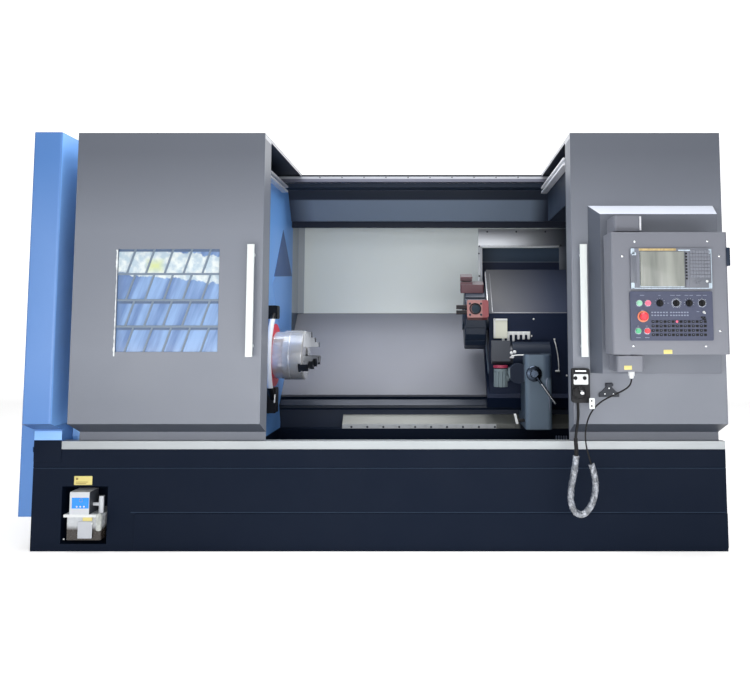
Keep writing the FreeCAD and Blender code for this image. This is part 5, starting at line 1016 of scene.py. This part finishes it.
# %% The torn film down the window's left edge
def torn_strip(x, low, high, y, reach=0.0055, rows=90):
    """A strip on a door face whose edges wander: sums of sines of the height, damped where it is stuck."""
    z = np.linspace(low, high, rows)
    t = (z - low) / (high - low)
    waves = np.abs(np.sin(23.0 * t)) * 0.5 + np.abs(np.sin(57.0 * t + 1.0)) * 0.4 + 0.25
    wander = reach * waves * (0.35 + 0.9 * (1.0 - t) ** 2 + 0.8 * (t > 0.8))
    left, right = x - wander, x + 0.45 * wander
    lift = 0.0012 + 0.0010 * np.abs(np.sin(31.0 * t))
    stuck = np.full(rows, y)
    back = np.stack([np.column_stack([left, stuck, z]), np.column_stack([right, stuck, z])], axis=1)
    face = np.stack([np.column_stack([right, y - lift, z]), np.column_stack([left, y - lift, z])], axis=1)
    return closed(np.concatenate([back, face], axis=1)[::-1])


door_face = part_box("left_door_shell")[0][1]
torn_film = film("torn_film", (228, 234, 236), gloss=0.3)
put("window_film", torn_strip(-1.393, 1.036, 1.600, door_face), torn_film, "left_door")
print("door face at", round(door_face, 4))

# %% [markdown]
# ## The hand pendant
# The pendant hangs by its wheel side out. On the real one a white plate frames the two dials, the wheel
# has a small crank, and a bright bar runs across the loop at its top.

# %% Pendant plate, marks, wheel crank and bar
pendant_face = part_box("hand_pendant")[0][1]
wheel_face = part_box("pendant_wheel")[0][1]
put("pendant_plate", tile((0.076, 0.054, 0.0010, 0.006, 0.0003, 24), 1.0565, 0.9180, pendant_face),
    white_plastic, "right_door")
dial_scales = [onto(scale_marks(5, 30, 120, 0.0135, 0.0035, 0.0012), front(x, 0.925, pendant_face - 0.001))
               for x in (1.028, 1.076)]
put("pendant_scales", dial_scales, black_plastic, "right_door")
wheel_marks = onto(scale_marks(50, 0, 352.8, 0.0315, 0.0045, 0.0009), front(1.048, 0.850, wheel_face))
put("wheel_marks", wheel_marks, faint_mark, "pendant_wheel")
crank = stack([0.0075, 0.0085, 0.0105, 0.0112, 0.0100, 0.0060, 0.0010],
              [0.0, 0.006, 0.009, 0.014, 0.018, 0.0205, 0.021], steps=24)
put("wheel_crank", onto(crank, front(1.0545, 0.853, wheel_face)), bright_steel, "pendant_wheel")
grip = onto(hoop(0.0300, 0.0350, 0.0030), front(1.048, 0.850, wheel_face))
put("wheel_grip", grip, black_rubber, "pendant_wheel")
bar = plate(0.058, 0.008, 0.004, 0.0035, 0.0015)
put("pendant_bar", onto(bar, front(1.0555, 0.9615, pendant_face)), bright_steel, "right_door")
print("pendant face at", round(pendant_face, 4))

# %% The hook beside it
def flat_shape(outline, thick, soft=0.0015):
    """A sheet cut to an outline: its rings are the outline, drawn in towards its middle at the front edge."""
    outline = np.asarray(outline, float)
    middle = outline.mean(axis=0)
    inward = middle + (outline - middle) * (1.0 - soft / np.abs(outline - middle).max())
    rings = [(outline, 0.0), (outline, thick - soft), (inward, thick)]
    return closed(np.stack([np.column_stack([ring, np.full(len(ring), height)]) for ring, height in rings]))


hook_low, hook_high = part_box("pendant_hook")
hook_middle = (hook_low[0] + hook_high[0]) / 2
hook_outline = np.array([(-0.053, 0.0), (0.053, 0.0), (0.053, 0.022), (0.036, 0.030), (0.017, 0.050),
                         (0.017, 0.073), (-0.017, 0.073), (-0.017, 0.050), (-0.036, 0.030),
                         (-0.053, 0.022)])
hook_plate = onto(flat_shape(hook_outline, 0.010), front(hook_middle, hook_low[2], hook_high[1]))
hook_lip = tile((0.034, 0.014, hook_high[1] - hook_low[1], 0.003), hook_middle, hook_high[2] - 0.008,
                hook_high[1])
hook_grey = paint("hook_dark_paint", (46, 50, 58), gloss=0.45, edge=0.001, shine=0.3)
hook = put("hook_plate", [hook_plate, hook_lip], hook_grey, "right_door")
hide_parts("pendant_hook")
hook_holes = [(hook_middle + x, hook_low[2] + z) for x, z in ((0.0, 0.046), (-0.022, 0.017), (0.022, 0.017))]
hook_screws = screws(0.0042, hook_holes, hook_high[1] - 0.010)
put("hook_screws", hook_screws, bright_steel, "right_door")
print("hook from", [round(side, 3) for side in hook_low])

# %% [markdown]
# ## The lubrication unit
# Behind the clear wall of the tank the oil stands half way up. The pump on the lid has a lit display
# and a filter cup beside it. Each of these is a few turned rings or a rounded plate.

# %% Display, labels and fittings of the pump
pump_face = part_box("lube_pump")[0][1]
tank_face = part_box("lube_tank")[0][1]
display_blue = plastic("display_blue", (30, 132, 222), gloss=0.2, glow=0.25, grain=0.1)
put("pump_display", tile((0.090, 0.056, 0.0012, 0.002, 0.0004, 16), -1.5785, 0.262, pump_face),
    display_blue, "machine")
put("pump_display_ring", onto(hoop(0.008, 0.010, 0.0004), front(-1.5750, 0.277, pump_face - 0.0012)),
    faint_mark, "machine")
dots = many(screw(0.0042), [(-1.5960, 0.2440, 0), (-1.5770, 0.2440, 0), (-1.5580, 0.2440, 0)])
put("pump_keys", onto(dots, front(0.0, 0.0, pump_face - 0.0012)), white_plastic, "machine")
put("tank_lid_edge", tile((0.205, 0.015, 0.006, 0.003, 0.0015), -1.5625, 0.1960, tank_face),
    white_plastic, "machine")
label_pale = plastic("label_pale", (188, 192, 199), gloss=0.5)
put("tank_label", tile((0.076, 0.088, 0.0008, 0.003, 0.0002, 12), -1.551, 0.123, tank_face),
    label_pale, "machine")
put("tank_blank_label", tile((0.050, 0.020, 0.0008, 0.002, 0.0002, 12), -1.539, 0.1790, tank_face),
    yellow_plastic, "machine")
cup_heights = [0.0, 0.004, 0.010, 0.040, 0.060, 0.066, 0.074, 0.086, 0.090]
filter_cup = stack([0.009, 0.0135, 0.0150, 0.0150, 0.0150, 0.0165, 0.0165, 0.0120, 0.0080], cup_heights,
                   steps=24)
filter_place = (-1.4740, tank_face - 0.0095, 0.1210)
cup_film = film("filter_cup_clear", (196, 200, 196), gloss=0.15)
put("filter_cup", onto(filter_cup, filter_place, across=(1.0, 0.0, 0.0), up=(0.0, 1.0, 0.0)),
    cup_film, "machine")
cover_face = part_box("base")[0][1] + 0.004
bolts = screws(0.0052, [(-1.5140, 0.1560)], tank_face) + screws(0.0048, [(-1.6797, 0.0648)], cover_face)
put("lube_unit_screws", bolts, white_plastic, "machine")
print("pump face at", round(pump_face, 4))

# %% The yellow plate on the base, with its two bars and its mark
base_face = -0.705
put("base_blank_plate", tile((0.097, 0.047, 0.0012, 0.003, 0.0004, 16), -1.589, 0.370, base_face),
    yellow_plastic, "machine")
plate_front = base_face - 0.0012
put("base_blank_plate_bars", [tile((0.012, 0.012, 0.0003, 0.003, 0.0001, 12), -1.622, 0.379, plate_front),
                              tile((0.064, 0.003, 0.0003, 0.001, 0.0001, 8), -1.596, 0.362, plate_front),
                              tile((0.056, 0.003, 0.0003, 0.001, 0.0001, 8), -1.600, 0.354, plate_front)],
    plastic("label_brown", (150, 128, 66), gloss=0.5), "machine")
print("plate on the base at", base_face)

# %% [markdown]
# ## Inside the working space
# Sheet covers meet at folds, seals and screwed frames, and those edges are what the eye reads as a real
# machine. Each is a thin plate or bar, set on the face that carries it: `onto` takes the directions
# along and up the face, and the plate grows out of it. A fold is a facet whose corners stand out by
# different amounts.

# %% The folded panel on the blue wall
def facet(outline, proud, back=0.002):
    """A flat-sided shell on a wall facing +X: the outline (y, z) just inside it, and again proud of it."""
    outline = np.asarray(outline, float)
    sunk = np.column_stack([np.full(len(outline), -back), outline])
    raised = np.column_stack([np.asarray(proud, float), outline])
    return closed(np.stack([sunk, raised]))


wall_plane = -0.743
# Painted shade and light: the upper facet is painted dark as shade, the lower one lighter as lit.
fold_painted_shade = paint("fold_painted_shade_blue_paint", (34, 72, 126), gloss=0.45, edge=0.001)
fold_painted_light = paint("fold_painted_light_blue_paint", (98, 150, 218), gloss=0.45, edge=0.001)
upper_fold = facet([(0.2854, 1.8517), (0.0184, 1.5142), (0.5685, 1.5531)], [0.001, 0.004, 0.010])
lower_fold = facet([(0.0184, 1.5142), (-0.028, 1.467), (0.2338, 1.170), (0.5524, 1.1758), (0.5685, 1.5531)],
                   [0.004, 0.001, 0.001, 0.001, 0.010])
for name, (points, faces), finish in (("wall_fold_upper", upper_fold, fold_painted_shade),
                                      ("wall_fold_lower", lower_fold, fold_painted_light)):
    on_wall = points + np.array([wall_plane, 0.0, 0.0])
    put(name, (on_wall, faces), finish, "machine", angle=10.0)
print("fold on the wall at", wall_plane)

# %% Seal bars on both side walls, and the screws along the top rail
seal_steel = steel("seal_bar_steel", (226, 228, 234), gloss=0.3, stretch=(1.0, 0.03, 1.0), metal=0.3)
bar_shape = plate(0.90, 0.013, 0.040, 0.003, 0.0015, 12)
right_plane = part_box("right_enclosure")[0][0]
left_bars = [onto(bar_shape, (wall_plane, -0.220, z), across=(0.0, 1.0, 0.0)) for z in (2.105, 2.137)]
right_bars = [onto(bar_shape, (right_plane, -0.220, z), across=(0.0, -1.0, 0.0)) for z in (2.098, 2.130)]
put("wall_seal_bars", left_bars + right_bars, seal_steel, "machine")
rail_screws = [onto(screw(0.0042), (x, 0.2652, 2.2096)) for x in np.arange(-0.4938, 1.0, 0.1506)]
put("top_rail_screws", rail_screws, dark_steel, "machine")
print(len(rail_screws), "screws along the top rail")

# %% The dark seal under the beam
beam_seal = onto(plate(2.390, 0.048, 0.016, 0.003, 0.001, 12), (0.453, 0.598, 1.929))
seal_slate = plastic("seal_slate", (30, 36, 50), gloss=0.6, shine=0.25)
put("beam_seal", beam_seal, seal_slate, "machine")
beam_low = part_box("header_beam")[0]
print("beam's lowest front edge", [round(side, 3) for side in beam_low])

# %% The stainless frame round the cross slide's window
curtain_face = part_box("sliding_curtain")[0][1]
frame_parts = [(0.6186, 1.5560, 1.7984, 1.9321), (0.6186, 0.6500, 1.3930, 1.7984),
               (1.2320, 1.5560, 1.3930, 1.7984)]
frame_shells = [
    tile((x1 - x0, z1 - z0, 0.0015, 0.0006, 0.0005, 8), (x0 + x1) / 2, (z0 + z1) / 2, curtain_face + 0.0002)
    for x0, x1, z0, z1 in frame_parts]
put("curtain_frame", frame_shells, frame_steel, "carriage")
frame_screws = [(0.6886, 1.9112), (0.9091, 1.9112), (1.1300, 1.9112), (0.6280, 1.8003), (0.6240, 1.7450),
                (0.6270, 1.5740), (1.2450, 1.8064)]
put("curtain_frame_screws", screws(0.0068, frame_screws, curtain_face - 0.0013),
    dark_steel, "carriage")
lip = [tile((0.582, 0.008, 0.004, 0.002, 0.001, 8), 0.941, 1.8010, curtain_face - 0.0012),
       tile((0.004, 0.405, 0.004, 0.0015, 0.001, 8), 0.6480, 1.5955, curtain_face - 0.0012)]
put("curtain_frame_lip", lip, seal_steel, "carriage")
print("curtain face at", round(curtain_face, 4))

# %% Edges of the slide's cover plate, its left rail, and the strip down its side
SLANT = 0.70711
rise = (0.0, SLANT, SLANT)
slide_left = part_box("cross_slide")[0][0]
edge_steel = steel("cover_edge_steel", (126, 128, 134), gloss=0.35, metal=0.3)
lower_edge = onto(plate(0.545, 0.006, 0.0015, 0.001, 0.0005, 8), (0.9485, 0.2255, 1.2855), up=rise)
left_edge = onto(plate(0.006, 0.400, 0.0015, 0.001, 0.0005, 8), (0.6790, 0.3650, 1.4250), up=rise)
put("cover_plate_edges", [lower_edge, left_edge], edge_steel, "cross_slide")
side_rail = onto(plate(0.320, 0.030, 0.006, 0.003, 0.001, 12), (slide_left, 0.440, 1.462),
                 across=(0.0, -SLANT, -SLANT), up=(0.0, -SLANT, SLANT))
put("cover_side_rail", side_rail, seal_steel, "cross_slide")
side_strip = onto(plate(0.340, 0.030, 0.006, 0.003, 0.001, 12), (slide_left, 0.410, 0.990),
                  across=(0.0, -0.806, -0.592), up=(0.0, -0.592, 0.806))
put("cover_side_strip", side_strip, grille_paint, "cross_slide")
print("left side of the slide at", round(slide_left, 4))

# %% Screws, comb, block rim and hose on the slide's apron
apron = 0.2200
apron_screws = [(0.9527, 1.2426), (1.0892, 1.1077), (1.1684, 0.8693), (0.9369, 1.1302)]
put("apron_screws", screws(0.0062, apron_screws, apron), white_plastic, "cross_slide")
comb_bar = tile((0.190, 0.022, 0.010, 0.003), 0.832, 1.1490, apron)
fingers = []
for place, (length, z) in enumerate([(0.060, 1.1240)] * 3 + [(0.046, 1.1300)] * 3):
    fingers.append(tile((0.016, length, 0.012, 0.005, 0.002, 16), 0.748 + 0.0338 * place, z, apron))
put("apron_comb", [comb_bar] + fingers, white_plastic, "cross_slide")
cream_face = 0.195
block_rim = [tile((0.090, 0.012, 0.004, 0.002), 0.729, 1.2390, cream_face),
             tile((0.012, 0.126, 0.004, 0.002), 0.688, 1.1830, cream_face)]
put("cream_block_rim", block_rim, white_plastic, "cross_slide")
hose_path = smooth_path([
    (1.0892, apron, 1.1010), (1.0990, apron - 0.010, 1.0600), (1.1100, apron - 0.012, 0.9900),
    (1.1140, apron - 0.010, 0.9300), (1.1135, apron, 0.9000)])
hose_end = tile((0.030, 0.012, 0.012, 0.004, 0.002, 16), 1.1060, 0.8990, apron)
put("apron_hose", [tube(hose_path, 0.0034), hose_end], white_plastic, "cross_slide")
print("apron face at", apron)

# %% Bore and screws of the boring holder
BORE_X, BORE_Y, BORE_Z = 0.5550, 0.0506, 1.3079
LEAN_Y, LEAN_Z = 0.2588, 0.9659
mouth_up = (0.0, LEAN_Y, LEAN_Z)
# A dark finish, partly painted shade: it stands for the shade in the bore on the bar's end, and colours the
# holder's screws.
dark_steel_and_bore_shade = plastic("bore_shadow", (24, 40, 52), gloss=0.4, shine=0.3)


def mouth(x, rise_by):
    """A place on the holder's slanted face, by X and by the distance up the face from the bore's centre."""
    return (x, BORE_Y + LEAN_Y * rise_by, BORE_Z + LEAN_Z * rise_by)


mouth_rim = onto(hoop(0.0300, 0.0385, 0.0012), mouth(BORE_X, 0.0), up=mouth_up)
put("holder_bore_rim", mouth_rim, black_plastic, "turret")
mouth_screws = [onto(screw(0.0070), mouth(x, rise_by), up=mouth_up)
                for x in (0.5200, 0.5915) for rise_by in (0.0340, -0.0400)]
put("holder_screws", mouth_screws, dark_steel_and_bore_shade, "turret")
# The bar's end just inside the mouth, painted dark as the bore's shade, hides the bore's red inside.
bar_end = stack([0.0300, 0.0300, 0.0270], [-0.0060, -0.0020, -0.0010], steps=32)
put("holder_bar_end", onto(bar_end, mouth(BORE_X, 0.0), up=mouth_up), dark_steel_and_bore_shade, "turret")
print("bore centre", [round(side, 4) for side in mouth(BORE_X, 0.0)])

# %% The tailstock's guard, red ring, hose and wiper
guard_face, nut_face, arm_back, wiper_back = -0.0008, -0.012, -0.050, -0.058
guard_grey = paint("quill_guard_paint", (66, 70, 78), gloss=0.55, shine=0.25)
put("quill_guard", tile((0.122, 0.132, 0.006, 0.004, 0.0015), 0.7130, 1.0380, guard_face),
    guard_grey, "tailstock")
drive_ring = stack([0.030, 0.047, 0.048, 0.047, 0.030], [0.0, 0.001, 0.009, 0.0175, 0.018], steps=32)
ring_red = paint("drive_ring_red_paint", (150, 42, 72), gloss=0.45)
put("drive_red_ring", onto(drive_ring, (0.7130, 0.0170, 0.9300), up=(0.0, 1.0, 0.0)),
    ring_red, "tailstock")
nut = stack([0.007, 0.010, 0.010, 0.007], [0.0, 0.002, 0.012, 0.014], steps=16)
nut_places = [(0.7790, 1.0260), (0.7990, 1.0330), (0.7850, 1.0020)]
fitting = [onto(nut, front(x, z, nut_face)) for x, z in nut_places]
pipe = smooth_path([(0.7700, -0.020, 0.9950), (0.7850, -0.024, 1.0080), (0.8150, -0.025, 1.0125),
                    (0.8560, -0.025, 1.0135)])
put("quill_oil_pipe", fitting + [tube(pipe, 0.0040)], white_plastic, "tailstock")
column_pipe = smooth_path([(1.000, -0.108, 0.892), (0.984, -0.116, 0.850), (0.994, -0.116, 0.790),
                           (1.001, -0.112, 0.730), (1.004, -0.108, 0.655)])
put("column_hose", tube(column_pipe, 0.0034), faint_mark, "tailstock")
wiper_arm = tile((0.060, 0.020, 0.010, 0.003), 0.8300, 0.6100, arm_back)
put("way_wiper_arm", wiper_arm, black_plastic, "tailstock")
wiper = tile((0.016, 0.064, 0.010, 0.004), 0.8005, 0.6190, wiper_back, up=(-0.22, 0.0, 1.0))
put("way_wiper", wiper, white_plastic, "tailstock")
print("guard, ring and wiper ride the tailstock")

# %% Screws sunk in the way, and the comb in the trough
way_face = 0.2400
sunk_head = stack([0.0075, 0.0075], [-0.0020, 0.00015], steps=16)
holes = [onto(sunk_head, front(x, 0.5300, way_face)) for x in np.arange(-0.26, 0.70, 0.1056)]
put("way_screws", holes, dark_steel, "machine")
trough_face = 0.2380
trough_comb = [tile((0.009, 0.026, 0.008, 0.003, 0.001, 12), 1.0960 + 0.0165 * place, 0.4610, trough_face)
               for place in range(5)]
put("trough_comb", trough_comb, faint_mark, "machine")
print(len(holes), "screws along the way")

# %% The base's raised corner, the casing's foot and the block beside it
corner_face, block_face = -0.7055, -0.5845
corner_plate = tile((0.148, 0.112, 0.003, 0.002, 0.001), -1.7860, 0.5260, corner_face)
put("base_corner_plate", corner_plate, navy_paint, "machine")
foot_paint = paint("foot_light_blue_paint", (140, 190, 252), gloss=0.4, edge_wear_and_sheen=1.1)
foot_strip = tile((0.148, 0.048, 0.003, 0.002, 0.001), -1.7860, 0.6080, corner_face)
side_block = tile((0.062, 0.056, 0.008, 0.003, 0.001), -1.6790, 0.6150, block_face)
put("casing_foot_strip", [foot_strip, side_block], foot_paint, "machine")
print("corner plate and foot on the front at", corner_face)

# %% Arm edge, and a white plate on the guard's lower bracket as a painted highlight
arm_edge = tile((0.009, 0.071, 0.0015, 0.001, 0.0005, 8), 1.3310, 1.7105, arm_face)
put("arm_edge_strip", arm_edge, seal_steel, "right_door")
# A white plate whose colour is a painted highlight on the guard's lower bracket.
guard_highlight_plate = onto(plate(0.020, 0.050, 0.004, 0.003, 0.001), (-0.688, -0.160, 0.752),
                  across=(0.0, 1.0, 0.0), up=(0.0, 0.25, 1.0))
put("guard_highlight_plate", guard_highlight_plate, white_plastic, "machine")
print("arm front at", round(arm_face, 4))
